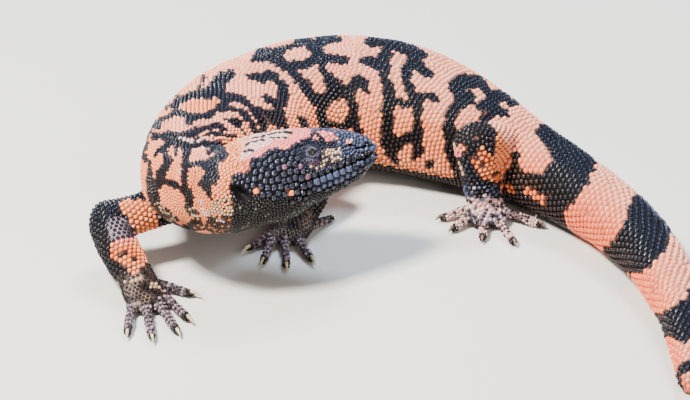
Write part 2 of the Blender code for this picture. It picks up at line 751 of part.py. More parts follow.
def build_limbs(collection, material):
    """Three lengths to each limb, parted by the plane that halves the bend at the elbow and at the wrist."""
    for limb in LIMBS:
        rows = [[value * MM for value in joint] for joint in limb.joints]
        upper, lower, foot = Path(rows[0:3]), Path(rows[2:5]), Path(rows[4:7])
        elbow, wrist = Vector(rows[2][:3]), Vector(rows[4][:3])
        elbow_normal = (upper.tangent(upper.length) + lower.tangent(0.0)).normalized()
        wrist_normal = (lower.tangent(lower.length) + foot.tangent(0.0)).normalized()
        upper_tube = tube("upper", upper, LIMB_RING_STEP, LIMB_SIDES, domed_end=True, bead=LIMB_BEAD)
        cutters = [body_envelope("envelope", GAP), half_space(elbow, elbow_normal)]
        fused(limb.upper, upper_tube, cutters, material, collection, "DIFFERENCE")
        lower_tube = tube("lower", lower, LIMB_RING_STEP, LIMB_SIDES, True, True, bead=LIMB_BEAD)
        cutters = [body_envelope("envelope", GAP), half_space(elbow, -elbow_normal), half_space(wrist, wrist_normal)]
        fused(limb.lower, lower_tube, cutters, material, collection, "DIFFERENCE")
        cutters = [body_envelope("envelope", GAP), half_space(wrist, -wrist_normal)]
        build_foot(limb, foot, cutters, collection, material)


def main():
    for old in list(bpy.data.objects):
        bpy.data.objects.remove(old)
    animal = bpy.data.collections.new("gila_monster")
    bpy.context.scene.collection.children.link(animal)
    materials = {
        "skin": make_material("beaded_skin", srgb(236, 164, 138), 0.5),
        "eye": make_material("dark_eye", srgb(22, 18, 20), 0.15),
    }
    build_body(animal, materials["skin"])
    build_head(animal, materials)
    build_limbs(animal, materials["skin"])


main()
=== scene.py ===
"""Looks of a life-size Gila monster that lies in a wide C on its belly, its head turned back along its flank.

One skin stands for all the flesh of the solids and lies just inside them. Thousands of small solid beads cover
it, each cut to the room that its neighbours leave, and both take their colours from the same markings.
Shapes are worked out in millimetres in the animal's frame, and become metres when a mesh is made.
"""

import logging
import math
from dataclasses import dataclass, field
from enum import Enum, IntEnum
from itertools import product

import bpy
import numpy as np
from mathutils import Matrix, Vector
from mathutils.bvhtree import BVHTree
from mathutils.kdtree import KDTree


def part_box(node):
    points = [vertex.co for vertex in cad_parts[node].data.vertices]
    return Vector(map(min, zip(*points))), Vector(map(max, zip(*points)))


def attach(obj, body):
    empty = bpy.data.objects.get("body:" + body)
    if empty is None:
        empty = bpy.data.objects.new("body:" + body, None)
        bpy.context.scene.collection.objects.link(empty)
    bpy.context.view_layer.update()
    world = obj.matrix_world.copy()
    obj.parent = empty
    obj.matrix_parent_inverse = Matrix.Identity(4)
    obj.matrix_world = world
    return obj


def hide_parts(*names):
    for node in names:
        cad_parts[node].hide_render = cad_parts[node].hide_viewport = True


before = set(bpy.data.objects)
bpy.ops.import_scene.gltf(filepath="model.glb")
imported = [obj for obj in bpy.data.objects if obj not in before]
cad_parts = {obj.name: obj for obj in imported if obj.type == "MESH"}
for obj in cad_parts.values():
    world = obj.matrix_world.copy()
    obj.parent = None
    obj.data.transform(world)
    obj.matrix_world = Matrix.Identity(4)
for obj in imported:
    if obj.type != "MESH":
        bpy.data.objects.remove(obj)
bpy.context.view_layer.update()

log = logging.getLogger("gila")
Array = np.ndarray
MM = 0.001
SECTION_POWER = 2.25
PIXELS_PER_MM = 2.45
ROW_SPACING = 0.93

# The angles at which a dome's rings lie between its base and its tip.
DOME = tuple(math.radians(angle) for angle in (25, 48, 68, 82))
FINE_DOME = tuple(math.radians(angle) for angle in (18, 36, 54, 70, 82))


class Kind(IntEnum):
    """The forms that the skin is made of."""

    BODY = 0
    HEAD = 1
    UPPER = 2
    LOWER = 3
    PALM = 4
    TOE = 5


def linear(red: float, green: float, blue: float) -> Array:
    """The values that a material takes, for a colour's everyday values of 0 to 255."""
    share = np.array([red, green, blue], float) / 255
    return np.where(share <= 0.04045, share / 12.92, ((share + 0.055) / 1.055) ** 2.4)


def unit(vectors: Array) -> Array:
    """The same directions at length one."""
    return vectors / np.maximum(np.linalg.norm(vectors, axis=-1, keepdims=True), 1e-9)


def ramp(values: Array, low: float, high: float) -> Array:
    """0 below low, 1 above high, and a smooth rise between them."""
    share = np.clip((values - low) / (high - low), 0, 1)
    return share * share * (3 - 2 * share)


def blend(first: Array, second: Array, share: Array) -> Array:
    """Colours between two, by a share for each row."""
    return first + (second - first) * np.asarray(share)[..., None]


def waves(points: Array, size: float, seed: int) -> Array:
    """A smooth uneven value from about -1 to 1 for each point.

    Args:
        points: Rows of coordinates.
        size: About how far apart its hills are.
        seed: Starts the random draws.

    Returns:
        The values.
    """
    draw = np.random.default_rng(seed)
    total = np.zeros(len(points))
    for _ in range(5):
        direction = unit(draw.normal(size=3)) * (2 * math.pi / size) * draw.uniform(0.7, 1.4)
        total += np.sin(points @ direction + draw.uniform(0, 6.28))
    return total / 2.6


def search_tree(points: Array) -> KDTree:
    """A tree that finds the nearest of many points."""
    tree = KDTree(len(points))
    for number, point in enumerate(points):
        tree.insert(point, number)
    tree.balance()
    return tree


def store_tint(mesh: bpy.types.Mesh, colours: Array) -> None:
    """Keeps a colour for each point of a mesh, where the materials read it."""
    layer = mesh.color_attributes.new("Tint", "FLOAT_COLOR", "POINT")
    rows = np.concatenate([np.clip(colours, 0, 1), np.ones((len(colours), 1))], axis=1)
    layer.data.foreach_set("color", rows.reshape(-1))


def rounded(turn: Array, left: Array, right: Array, up: Array, down: Array, power: Array) -> tuple[Array, Array]:
    """Points of a soft section.

    Args:
        turn: Angles from the back to the left, in radians.
        left, right, up, down: How far the section reaches each way.
        power: 2 for an ellipse, and more for a squarer section.

    Returns:
        How far left and how far up each point lies.
    """
    side, height = np.sin(turn), np.cos(turn)
    across = np.sign(side) * np.abs(side) ** (2 / power) * np.where(side > 0, left, right)
    above = np.sign(height) * np.abs(height) ** (2 / power) * np.where(height > 0, up, down)
    return across, above


class Curve:
    """A smooth curve through rows whose first three values are a place, with all values carried along it."""

    def __init__(self, rows: list) -> None:
        """Takes the rows of values, one for each station."""
        self.rows = np.array(rows, float)
        steps = np.linalg.norm(np.diff(self.rows[:, :3], axis=0), axis=1)
        self.knots = np.concatenate([[0.0], np.cumsum(steps)])
        self.length = float(self.knots[-1])
        spans = np.diff(self.knots)[:, None]
        steepness = np.diff(self.rows, axis=0) / spans
        slopes = np.empty_like(self.rows)
        slopes[1:-1] = (steepness[:-1] * spans[1:] + steepness[1:] * spans[:-1]) / (spans[:-1] + spans[1:])
        slopes[0] = 2 * steepness[0] - slopes[1]
        slopes[-1] = 2 * steepness[-1] - slopes[-2]
        self.slopes = slopes

    def at(self, distance: Array) -> Array:
        """All values at each distance along the curve."""
        distance = np.atleast_1d(np.asarray(distance, float))
        span = np.clip(np.searchsorted(self.knots, distance, side="right") - 1, 0, len(self.knots) - 2)
        width = (self.knots[span + 1] - self.knots[span])[:, None]
        t = (distance - self.knots[span])[:, None] / width
        return (
            self.rows[span] * (2 * t**3 - 3 * t**2 + 1)
            + self.slopes[span] * width * (t**3 - 2 * t**2 + t)
            + self.rows[span + 1] * (3 * t**2 - 2 * t**3)
            + self.slopes[span + 1] * width * (t**3 - t**2)
        )

    def tangent(self, distance: Array) -> Array:
        """The direction of travel at each distance."""
        low = np.clip(np.asarray(distance) - 0.1, 0, self.length)
        high = np.clip(np.asarray(distance) + 0.1, 0, self.length)
        return unit(self.at(high)[:, :3] - self.at(low)[:, :3])


@dataclass(frozen=True)
class Viewpoint:
    """Where the animal is seen from, and the frame that it is seen in.

    Attributes:
        target: The place that the camera faces.
        elevation: How steeply it looks down.
        distance: How far it stands from the target.
        lens: Its focal length in pixels of the frame.
        width, height: The frame's size in pixels.
        sensor: The width of its sensor in millimetres.
        far: How far it sees, in metres.
    """

    target: tuple = (0.0, -41.0, 0.0)
    elevation: float = math.radians(27)
    distance: float = 1400.0
    lens: float = 3360.0
    width: int = 690
    height: int = 400
    sensor: float = 36.0
    far: float = 20.0

    def axes(self) -> tuple[Array, Array]:
        """The directions that the camera looks in and that it holds up."""
        cosine, sine = math.cos(self.elevation), math.sin(self.elevation)
        return np.array([0, cosine, -sine]), np.array([0, sine, cosine])

    def pixels(self, points: Array) -> Array:
        """Where points fall in the frame, in pixels from its top left corner."""
        look, up = self.axes()
        offset = points - np.array(self.target)
        scale = self.lens / (self.distance + offset @ look)
        return np.stack([self.width / 2 + offset[:, 0] * scale, self.height / 2 - (offset @ up) * scale], axis=1)

    def build(self) -> None:
        """Adds the camera and makes it the scene's own."""
        look, _ = self.axes()
        place = Vector((np.array(self.target) - look * self.distance) * MM)
        bpy.ops.object.camera_add(location=place, rotation=(math.pi / 2 - self.elevation, 0, 0))
        camera = bpy.context.object
        camera.name = "camera"
        camera.data.sensor_width = self.sensor
        camera.data.lens = self.lens / self.width * self.sensor
        camera.data.clip_end = self.far
        bpy.context.scene.camera = camera


@dataclass
class Loft:
    """A soft form: rings of points along it, each starting on its back and turning to its left.

    Attributes:
        name: The part's name.
        kind: What sort of form it is.
        rings: Points, by ring and by place on the ring.
        along: Each ring's distance along the form.
        pitch: How far apart beads lie at each ring, where they stand in rows.
        limb: The number of its limb, or -1.
        stretch: How much wider the beads of a row are set than a pitch, and the rows closer.
    """

    name: str
    kind: Kind
    rings: Array
    along: Array
    pitch: "Array | None" = None
    limb: int = -1
    stretch: float = 1.05

    def turns(self) -> Array:
        """The angle of each point on a ring, from -pi to pi, 0 on the back and more towards the left."""
        count = self.rings.shape[1]
        angle = 2 * math.pi * np.arange(count) / count
        return np.where(angle > math.pi, angle - 2 * math.pi, angle)

    def arcs(self) -> tuple[Array, Array]:
        """The rings opened along the belly, and each point's distance round from the back."""
        count = self.rings.shape[1]
        half = count // 2
        opened = self.rings[:, np.arange(-half, half + 1) % count]
        steps = np.linalg.norm(np.diff(opened, axis=1), axis=2)
        arc = np.concatenate([np.zeros((len(opened), 1)), np.cumsum(steps, axis=1)], axis=1)
        return opened, arc - arc[:, half : half + 1]

    def mesh(self) -> bpy.types.Object:
        """The form as a closed object."""
        count, sides = self.rings.shape[:2]
        caps = [self.rings[0].mean(axis=0), self.rings[-1].mean(axis=0)]
        points = np.concatenate([self.rings.reshape(-1, 3), caps])
        faces = []
        for i, j in product(range(count - 1), range(sides)):
            k = (j + 1) % sides
            faces.append((i * sides + j, i * sides + k, (i + 1) * sides + k, (i + 1) * sides + j))
        first, last = count * sides, count * sides + 1
        for j in range(sides):
            k = (j + 1) % sides
            faces.append((first, k, j))
            faces.append((last, (count - 1) * sides + j, (count - 1) * sides + k))
        data = bpy.data.meshes.new(self.name)
        data.from_pydata((points * MM).tolist(), [], faces)
        made = bpy.data.objects.new(self.name, data)
        bpy.context.collection.objects.link(made)
        return made

    @staticmethod
    def joined(forms: list, name: str) -> bpy.types.Object:
        """Several forms as one object."""
        bpy.ops.object.select_all(action="DESELECT")
        for form in forms:
            piece = form.mesh()
            piece.select_set(True)
            bpy.context.view_layer.objects.active = piece
        bpy.ops.object.join()
        made = bpy.context.object
        made.name = name
        return made

    def rows(self, anchor: float) -> tuple[Array, Array]:
        """Places for beads in rows that run round the form, each row set half a bead on from its neighbours.

        Args:
            anchor: The angle round the form, in radians, at which the rows are in step and evenly spaced.

        Returns:
            The places, and how far apart beads lie there.
        """
        opened, arc = self.arcs()
        sides = self.rings.shape[1]
        column = round(anchor / (2 * math.pi) * sides)
        steps = np.linalg.norm(np.diff(self.rings[:, column], axis=0), axis=1)
        steps = steps * self.stretch / (ROW_SPACING * self.pitch[1:])
        count = np.concatenate([[0.0], np.cumsum(steps)])
        places, pitches = [], []
        for mark in range(1, int(count[-1]) + 1):
            place = float(np.interp(mark, count, np.arange(len(count))))
            low = min(int(place), len(opened) - 2)
            share = place - low
            ring, reach = (rows[low] * (1 - share) + rows[low + 1] * share for rows in (opened, arc))
            pitch = self.pitch[low]
            spacing = self.stretch * pitch
            start = reach[sides // 2 + column] + 0.5 * (mark % 2) * spacing
            first, last = math.ceil((reach[0] - start) / spacing), math.floor((reach[-1] - start) / spacing)
            wanted = start + np.arange(first, last + 1) * spacing
            places.append(np.stack([np.interp(wanted, reach, ring[:, axis]) for axis in range(3)], axis=1))
            pitches.append(np.full(len(wanted), pitch))
        return np.concatenate(places), np.concatenate(pitches)


@dataclass
class Body:
    """Neck, trunk and tail.

    Attributes:
        stations: Centre, reach to the left, right, up and down, and roll in degrees, from the nape to the tip of
            the tail.
        pitches: How far apart beads lie, by distance behind the head.
        sink: How far the skin lies inside the solids.
        floor: The lowest that the skin comes.
        sides: Points of a ring.
        count: Rings between the nape and the tail's tip.
    """

    stations: tuple = (
        (-49.7, -105.4, 37.4, 12.5, 22.5, 16.6, 17.5, -18),
        (-56.1, -99.3, 36.8, 11, 22, 17, 18.5, -13),
        (-59.0, -90, 36, 11.5, 22, 18, 20, -9),
        (-57, -71.5, 34, 20.5, 24.5, 20, 22, -3),
        (-49.5, -46.5, 29.5, 30, 29.5, 23, 26, 0),
        (-33.5, -17, 25.6, 33, 33, 25, 26, 0),
        (-7, 1, 25, 33.5, 35, 25.4, 25.6, 0),
        (22, -3.5, 24.6, 32.5, 33.5, 24.8, 25.2, 0),
        (42, -14.5, 22.6, 28, 27, 22.5, 23.2, 0),
        (58.5, -27, 20.4, 22.5, 21.5, 20.2, 21, 0),
        (74, -40, 17.2, 17.2, 17.2, 17, 17.8, 0),
        (92, -59.5, 14.9, 14.9, 14.9, 14.8, 15.4, 0),
        (106, -78.5, 13.4, 13.5, 13.5, 13.4, 13.9, 0),
        (119.5, -107, 11.6, 11.9, 11.9, 11.8, 12, 0),
        (126.6, -133, 10.1, 10.5, 10.5, 10.3, 10.5, 0),
        (130.6, -163, 8.8, 9.0, 9.0, 8.9, 9.1, 0),
        (131, -184, 7.1, 7.5, 7.5, 7.3, 7.4, 0),
        (129.8, -199, 5.0, 5.2, 5.2, 5.2, 5.2, 0),
    )
    pitches: tuple = (
        (0, 1.65), (35, 1.7), (55, 1.85), (80, 2.05), (205, 2.15), (240, 2.5), (300, 2.65), (370, 2.6), (404, 2.1),
    )
    sink: float = 0.45
    floor: float = 0.4
    sides: int = 96
    count: int = 400

    def __post_init__(self) -> None:
        """Draws the axis."""
        self.curve = Curve([row[:7] + (math.radians(row[7]),) for row in self.stations])

    def ring(self, distance: float, scale: float = 1.0, shift: float = 0.0, grow: float = 0.0) -> Array:
        """One ring of points.

        Args:
            distance: How far behind the head it lies.
            scale: Its size, as a share of the body's there.
            shift: How far it is moved towards the tail.
            grow: How much further than the skin it reaches.

        Returns:
            The points, from the back to the left.
        """
        row = self.curve.at(distance)[0]
        backward = self.curve.tangent(distance)[0]
        left = unit(np.cross([0, 0, 1], -backward))
        up = np.cross(-backward, left)
        turned_left = left * math.cos(row[7]) + up * math.sin(row[7])
        turned_up = up * math.cos(row[7]) - left * math.sin(row[7])
        turn = 2 * math.pi * np.arange(self.sides) / self.sides
        reach = (row[3:7] - self.sink + grow) * scale
        across, above = rounded(turn, *reach, SECTION_POWER)
        points = row[:3] + across[:, None] * turned_left + above[:, None] * turned_up + backward * shift
        points[:, 2] = np.maximum(points[:, 2], self.floor)
        return points

    def loft(self) -> Loft:
        """The form from the nape to the rounded tip of the tail."""
        length, tip = self.curve.length, self.stations[-1][3]
        along = np.linspace(0, length, self.count)
        rings = [self.ring(distance) for distance in along]
        rings += [self.ring(length, math.cos(angle), tip * math.sin(angle)) for angle in DOME]
        along = np.concatenate([along, [length + tip * math.sin(angle) for angle in DOME]])
        pitch = np.interp(along, *np.array(self.pitches).T)
        return Loft("body", Kind.BODY, np.array(rings), along, pitch, stretch=0.99)

    def radius(self, distance: Array) -> Array:
        """The mean half width at each distance."""
        return self.curve.at(distance)[:, 3:7].mean(axis=1)


@dataclass
class Head:
    """The head, in its own frame: x runs forward from the ears, y to its left and z up from the jaws' middle.

    Attributes:
        origin: Where its frame starts.
        yaw, pitch, roll: How it is turned, in degrees.
        stations: x, half width, crown, jaw, height of the mouth line, depth of its groove and squareness.
        skew: How far the hindmost ring turns towards the neck, on the left.
        skew_from: The place ahead of which no ring turns.
        left_shrink: How much narrower the hindmost ring is on the left.
        snout: How far the snout's dome stands ahead of the last station.
        sink: How far the skin lies inside the solids.
        sides: Points of a ring.
        eye, nostril, ear: Their places in the side view.
        ear_size: Half the short and the long axis of the ear's oval.
        ear_slant: The cosine and sine of its slant.
    """

    origin: tuple = (-45.2, -104.3, 38.2)
    yaw: float = 14.0
    pitch: float = 11.0
    roll: float = -20.0
    stations: tuple = (
        (1, 23.5, 16.8, -17.8, -3.4, 0.0, 2.2),
        (8, 25, 17.2, -18.0, -3.2, 0.0, 2.3),
        (15, 24.6, 17.2, -18.2, -3.0, 0.0, 2.4),
        (21, 23, 16.8, -17.8, -3.0, 0.3, 2.5),
        (26, 21, 16, -16.4, -3.1, 1.2, 2.5),
        (32, 18.4, 14.6, -15.0, -3.3, 1.3, 2.5),
        (38, 16, 12.9, -14.1, -3.3, 1.3, 2.5),
        (44, 13.6, 11.2, -13.0, -3.1, 1.2, 2.5),
        (49, 11.2, 9.4, -11.6, -2.8, 1.1, 2.4),
        (53, 8.6, 7.4, -9.4, -2.6, 0.9, 2.3),
        (56, 5.4, 4.9, -6.5, -2.4, 0.6, 2.2),
    )
    skew: float = math.radians(26)
    skew_from: float = 15.0
    left_shrink: float = 0.22
    snout: float = 2.6
    sink: float = 0.45
    sides: int = 96
    eye: tuple = (32.7, 6.3)
    nostril: tuple = (49.1, 4.0)
    ear: tuple = (0.5, 0.5)
    ear_size: tuple = (1.9, 4.6)
    ear_slant: tuple = (0.8, 0.6)

    def __post_init__(self) -> None:
        """Works out the head's frame and its curves."""
        turn = (
            Matrix.Rotation(math.radians(self.yaw), 3, "Z")
            @ Matrix.Rotation(math.radians(-self.pitch), 3, "Y")
            @ Matrix.Rotation(math.radians(self.roll), 3, "X")
        )
        self.axes = np.array(turn)
        self.curve = Curve([(row[0], 0, 0) + row for row in self.stations])

    def to_world(self, local: Array) -> Array:
        """Points of the head's frame, in the animal's."""
        return np.array(self.origin) + np.asarray(local) @ self.axes.T

    def to_local(self, points: Array) -> Array:
        """Points of the animal's frame, in the head's."""
        return (points - np.array(self.origin)) @ self.axes

    def pixels(self, points: Array, view: Viewpoint) -> Array:
        """Where points of the head fall in the frame, those of the hidden side where their mirror points do."""
        local = self.to_local(points)
        return view.pixels(self.to_world(np.stack([local[:, 0], -np.abs(local[:, 1]), local[:, 2]], axis=1)))

    @staticmethod
    def boxed(local: Array, start: float, side: float, high: float) -> Array:
        """Whether points of the head's frame lie ahead of a start, within a half width and a half height."""
        x, y, z = local.T
        return (x > start) & (x < 62) & (np.abs(y) < side) & (np.abs(z) < high)

    def lip(self, x: Array) -> Array:
        """The height of the mouth line at each place along the head."""
        rows = np.array(self.stations)
        return np.interp(x, rows[:, 0], rows[:, 4])

    def ear_gap(self, x: Array, z: Array) -> Array:
        """How far places of the side view lie from the ear's middle, where 1 is the rim of its slanting oval."""
        across, above = x - self.ear[0], z - self.ear[1]
        cosine, sine = self.ear_slant
        return np.hypot((across * cosine + above * sine) / self.ear_size[0],
                        (above * cosine - across * sine) / self.ear_size[1])

    def ring(self, x: float, scale: float = 1.0, beyond: float = 0.0) -> Array:
        """One ring, from the crown round by the left cheek and the throat.

        Args:
            x: Its place along the head.
            scale: Its size, as a share of the head's there.
            beyond: How far it is moved forward.

        Returns:
            The points.
        """
        row = self.curve.at(x - self.stations[0][0])[0][3:]
        _, width, crown, jaw, lip, _, power = row
        turn = 2 * math.pi * np.arange(self.sides) / self.sides
        sizes = (np.array([width, width, crown - lip, lip - jaw]) - self.sink) * scale
        across, above = rounded(turn, *sizes, power)
        skew = self.skew * max(0.0, (self.skew_from - x) / (self.skew_from - self.stations[0][0]))
        across = np.where(across > 0, across * (1 - self.left_shrink * skew / self.skew), across)
        local = np.stack([x + beyond + across * math.tan(skew), across, above + lip], axis=1)
        return self.to_world(local)

    def loft(self, body: Body) -> Loft:
        """The head from inside the neck to the snout."""
        last = self.stations[-1][0]
        xs = np.linspace(self.stations[0][0], last, 58)
        rings = [body.ring(4.0, grow=-0.4), body.ring(0.0), body.ring(0.0) * 0.5 + self.ring(1.0) * 0.5]
        rings += [self.ring(x) for x in xs]
        rings += [self.ring(last, math.cos(angle), self.snout * math.sin(angle)) for angle in DOME]
        along = np.concatenate([[-6, -2, -0.5], xs, last + self.snout * np.sin(DOME)])
        return Loft("head", Kind.HEAD, np.array(rings), along)


@dataclass(frozen=True)
class Digit:
    """A toe: where it leaves the palm, the direction that it points in, in degrees from +X, and its length."""

    x: float
    y: float
    direction: float
    length: float

    def place(self, reach: float, height: float) -> tuple[float, float, float]:
        """The point at a distance from the root and a height."""
        angle = math.radians(self.direction)
        return (self.x + reach * math.cos(angle), self.y + reach * math.sin(angle), height)


@dataclass
class Limb:
    """A leg with its foot.

    Attributes:
        name: Which leg it is.
        number: Its number among the limbs.
        joints: Places with the half width and half thickness of the flesh there. The third is the elbow or knee,
            the fifth the wrist or ankle, and the last lies at the roots of the toes.
        digits: The toes.
        claw: How long the claws are.
        nodes: The names of the solids that it is made of.
    """

    name: str
    number: int
    joints: tuple
    digits: tuple
    claw: float
    nodes: tuple
    sink: float = 0.35
    floor: float = 0.3
    toe_radius: float = 1.75
    profile: tuple = ((-4, 3.2, 1.0), (0.1, 3.5, 1.05), (0.45, 3.1, 0.95), (0.8, 2.1, 0.98), (1.0, 1.9, 0.85))

    def tube(self, name: str, kind: Kind, rows: list, sides: int, step: float, pitch: float, start: bool) -> Loft:
        """A rounded tube with a domed far end, and a domed near end if start is set."""
        curve = Curve(rows)
        count = max(6, round(curve.length / step) + 1)
        along = np.linspace(0, curve.length, count)
        values, forward = curve.at(along), curve.tangent(along)
        frames: list = [None] * count
        up = np.array([0.0, 0.0, 1.0])
        for i in range(count - 1, -1, -1):
            up = unit(up - forward[i] * (up @ forward[i]))
            frames[i] = (unit(np.cross(up, forward[i])), up.copy())
        turn = 2 * math.pi * np.arange(sides) / sides

        def ring(index: int, scale: float, shift: float) -> Array:
            """One ring at a frame, made smaller and moved along."""
            side, over = frames[index]
            wide, thick = (values[index, 3:5] - self.sink) * scale
            across, above = rounded(turn, wide, wide, thick, thick, 2.15)
            points = values[index, :3] + across[:, None] * side + above[:, None] * over + forward[index] * shift
            points[:, 2] = np.maximum(points[:, 2], self.floor)
            return points

        rings = [ring(i, 1.0, 0.0) for i in range(count)]
        far = values[-1, 3:5].mean() - self.sink
        rings += [ring(count - 1, math.cos(angle), far * math.sin(angle)) for angle in FINE_DOME]
        distances = list(along) + [along[-1] + far * math.sin(angle) for angle in FINE_DOME]
        if start:
            near = values[0, 3:5].mean() - self.sink
            rings = [ring(0, math.cos(angle), -near * math.sin(angle)) for angle in reversed(FINE_DOME)] + rings
            distances = [-near * math.sin(angle) for angle in reversed(FINE_DOME)] + distances
        return Loft(name, kind, np.array(rings), np.array(distances), np.full(len(rings), pitch), self.number)

    def toe_rows(self, digit: Digit) -> list:
        """A toe's path, from inside the palm over its knuckle to the floor."""
        rows = []
        for share, height, size in self.profile:
            reach = share if share < 0 else share * digit.length
            radius = self.toe_radius * size + self.sink
            rows.append(digit.place(reach, height) + (radius, radius))
        return rows

    def lofts(self) -> list[Loft]:
        """The limb's forms, from the body to the toes."""
        rows = list(self.joints)
        forms = [
            self.tube(self.name + "_upper", Kind.UPPER, rows[0:3], 48, 0.9, 2.1, False),
            self.tube(self.name + "_lower", Kind.LOWER, rows[2:5], 48, 0.9, 2.05, True),
            self.tube(self.name + "_palm", Kind.PALM, rows[4:7], 48, 0.8, 1.75, True),
        ]
        for i, digit in enumerate(self.digits):
            path = self.toe_rows(digit)
            forms.append(self.tube(f"{self.name}_toe_{i + 1}", Kind.TOE, path, 20, 0.7, 1.4, False))
        return forms


LIMBS = (
    Limb(
        "arm_right", 0,
        (
            (-62, -84, 25, 8.4, 8.4), (-79, -93.5, 22, 7.6, 7.6), (-94, -98.5, 20, 8.0, 8.0),
            (-90, -110, 14.5, 8.0, 8.0), (-83, -121.5, 8.2, 7.0, 6.4), (-80, -129, 5.4, 7.8, 4.8),
            (-77.5, -135.5, 3.8, 8.2, 3.4),
        ),
        (
            Digit(-74.5, -120.5, -21, 15), Digit(-72, -129, -57, 20), Digit(-74, -134.5, -67, 23.5),
            Digit(-78.5, -136.5, -80, 25), Digit(-83.5, -135, -91, 22.5),
        ),
        6.0, ("upper_arm_right", "forearm_right", "hand_right"),
    ),
    Limb(
        "arm_left", 1,
        (
            (-46, -68, 25, 8.4, 8.4), (-28, -60, 22, 7.6, 7.6), (-13, -54.5, 20, 8.0, 8.0),
            (-15, -61, 14, 8.0, 8.0), (-18, -67, 8.2, 7.0, 6.4), (-20.5, -73, 5.4, 7.8, 4.8),
            (-23, -79, 3.8, 8.2, 3.4),
        ),
        (
            Digit(-28, -75.5, 228, 16), Digit(-28.5, -79, 257, 20), Digit(-24.5, -81, 273, 21.5),
            Digit(-20, -80.5, 292, 18), Digit(-17.5, -75, 50, 18.5),
        ),
        6.0, ("upper_arm_left", "forearm_left", "hand_left"),
    ),
    Limb(
        "leg_left", 2,
        (
            (69, -36, 22, 11, 11), (61.5, -46.5, 28, 9.8, 9.8), (53.5, -56, 33.5, 8.8, 8.8),
            (55, -57, 21.5, 8.2, 8.2), (57, -57, 10.4, 7.2, 7.0), (57.5, -60, 6.2, 8.0, 5.4),
            (58, -64, 4.2, 8.4, 3.9),
        ),
        (
            Digit(51, -56.5, 201, 12), Digit(52.5, -61, 229, 13), Digit(57, -65, 265, 14),
            Digit(62, -64.5, 290, 19), Digit(65, -58.5, 331, 17.5),
        ),
        4.0, ("thigh_left", "shank_left", "foot_left"),
    ),
    Limb(
        "leg_right", 3,
        (
            (63, -20, 19, 11, 11), (60.5, -6, 17.5, 9.8, 9.8), (57, 8, 15, 8.8, 8.8),
            (52.5, 15, 12, 8.2, 8.2), (48.5, 21.5, 8.4, 7.2, 7.0), (47, 27, 5.6, 8.0, 5.2),
            (46, 33, 4.2, 8.8, 3.9),
        ),
        (
            Digit(39, 28, 152, 13), Digit(41, 33, 124, 15), Digit(45, 35, 99, 16),
            Digit(49.5, 34, 78, 16), Digit(53, 29.5, 60, 14),
        ),
        4.0, ("thigh_right", "shank_right", "foot_right"),
    ),
)
EYE_NODES = ("eye_left", "eye_right")
BODY_NODES = ("head", "neck", "chest", "trunk", "pelvis", "tail_1", "tail_2", "tail_3", "tail_4")


class Atlas:
    """Finds the form that a point of the skin belongs to, and the point's place on it."""

    def __init__(self, lofts: list[Loft]) -> None:
        """Takes the forms that the skin is made of."""
        self.lofts = lofts
        points, owners, along, turns, arcs = [], [], [], [], []
        for number, loft in enumerate(lofts):
            count, sides = loft.rings.shape[:2]
            _, arc = loft.arcs()
            half = sides // 2
            arc = np.roll(arc[:, :-1], -half, axis=1)
            points.append(loft.rings.reshape(-1, 3))
            owners.append(np.full(count * sides, number))
            along.append(np.repeat(loft.along, sides))
            turns.append(np.tile(loft.turns(), count))
            arcs.append(arc.reshape(-1))
        self.owners = np.concatenate(owners)
        self.along = np.concatenate(along)
        self.turns = np.concatenate(turns)
        self.arcs = np.concatenate(arcs)
        self.tree = search_tree(np.concatenate(points))

    def kinds(self, places: "Places") -> Array:
        """The kind of form that each place lies on."""
        return np.array([loft.kind for loft in self.lofts])[places.owner]

    def place(self, points: Array) -> "Places":
        """Where each point lies on the form nearest to it."""
        nearest = np.array([self.tree.find(point)[1] for point in points])
        return Places(
            points, self.owners[nearest], self.along[nearest], np.degrees(self.turns[nearest]), self.arcs[nearest]
        )


@dataclass
class Places:
    """Points of the skin with the form, distance along it, angle round it in degrees and distance round it."""

    points: Array
    owner: Array
    along: Array
    turn: Array
    arc: Array


@dataclass(frozen=True)
class Stroke:
    """A painted line: points with half widths, first and second coordinate in the units of their chart."""

    points: tuple

    def depth(self, first: Array, second: Array, scale: float) -> Array:
        """How far inside the line each place is, where scale turns the second coordinate into the first's unit."""
        rows = np.array(self.points, float)
        best = np.full(len(first), -99.0)
        pairs = zip(rows, rows[1:]) if len(rows) > 1 else [(rows[0], rows[0])]
        for start, end in pairs:
            dx, dy = end[0] - start[0], (end[1] - start[1]) * scale
            px, py = first - start[0], (second - start[1]) * scale
            share = np.clip((px * dx + py * dy) / max(dx * dx + dy * dy, 1e-6), 0, 1)
            gap = np.hypot(px - share * dx, py - share * dy)
            best = np.maximum(best, start[2] + (end[2] - start[2]) * share - gap)
        return best


@dataclass(frozen=True)
class Patch:
    """A painted area in pixels of the frame, by its outline."""

    outline: tuple

    def inside(self, pixels: Array) -> Array:
        """Whether each pixel lies in the area."""
        x, y = pixels[:, 0], pixels[:, 1]
        hit = np.zeros(len(pixels), bool)
        corners = self.outline
        for (ax, ay), (bx, by) in zip(corners, corners[1:] + corners[:1]):
            crosses = (ay > y) != (by > y)
            reach = (bx - ax) * (y - ay) / (by - ay if by != ay else 1e-9) + ax
            hit ^= crosses & (x < reach)
        return hit


@dataclass(frozen=True)
class Crease:
    """A crease of the face: its line in pixels of the frame, and its half width there and depth in millimetres."""

    line: Stroke
    wide: float
    deep: float


FACE_CREASES = (
    Crease(Stroke(((351, 144, 0), (356, 147.5, 0), (362, 148, 0), (369, 145.5, 0))), 1.5, 0.9),
    Crease(Stroke(((296, 148, 0), (302, 146, 0), (309, 144, 0), (318, 143.5, 0), (330, 145.5, 0))), 1.6, 0.55),
)

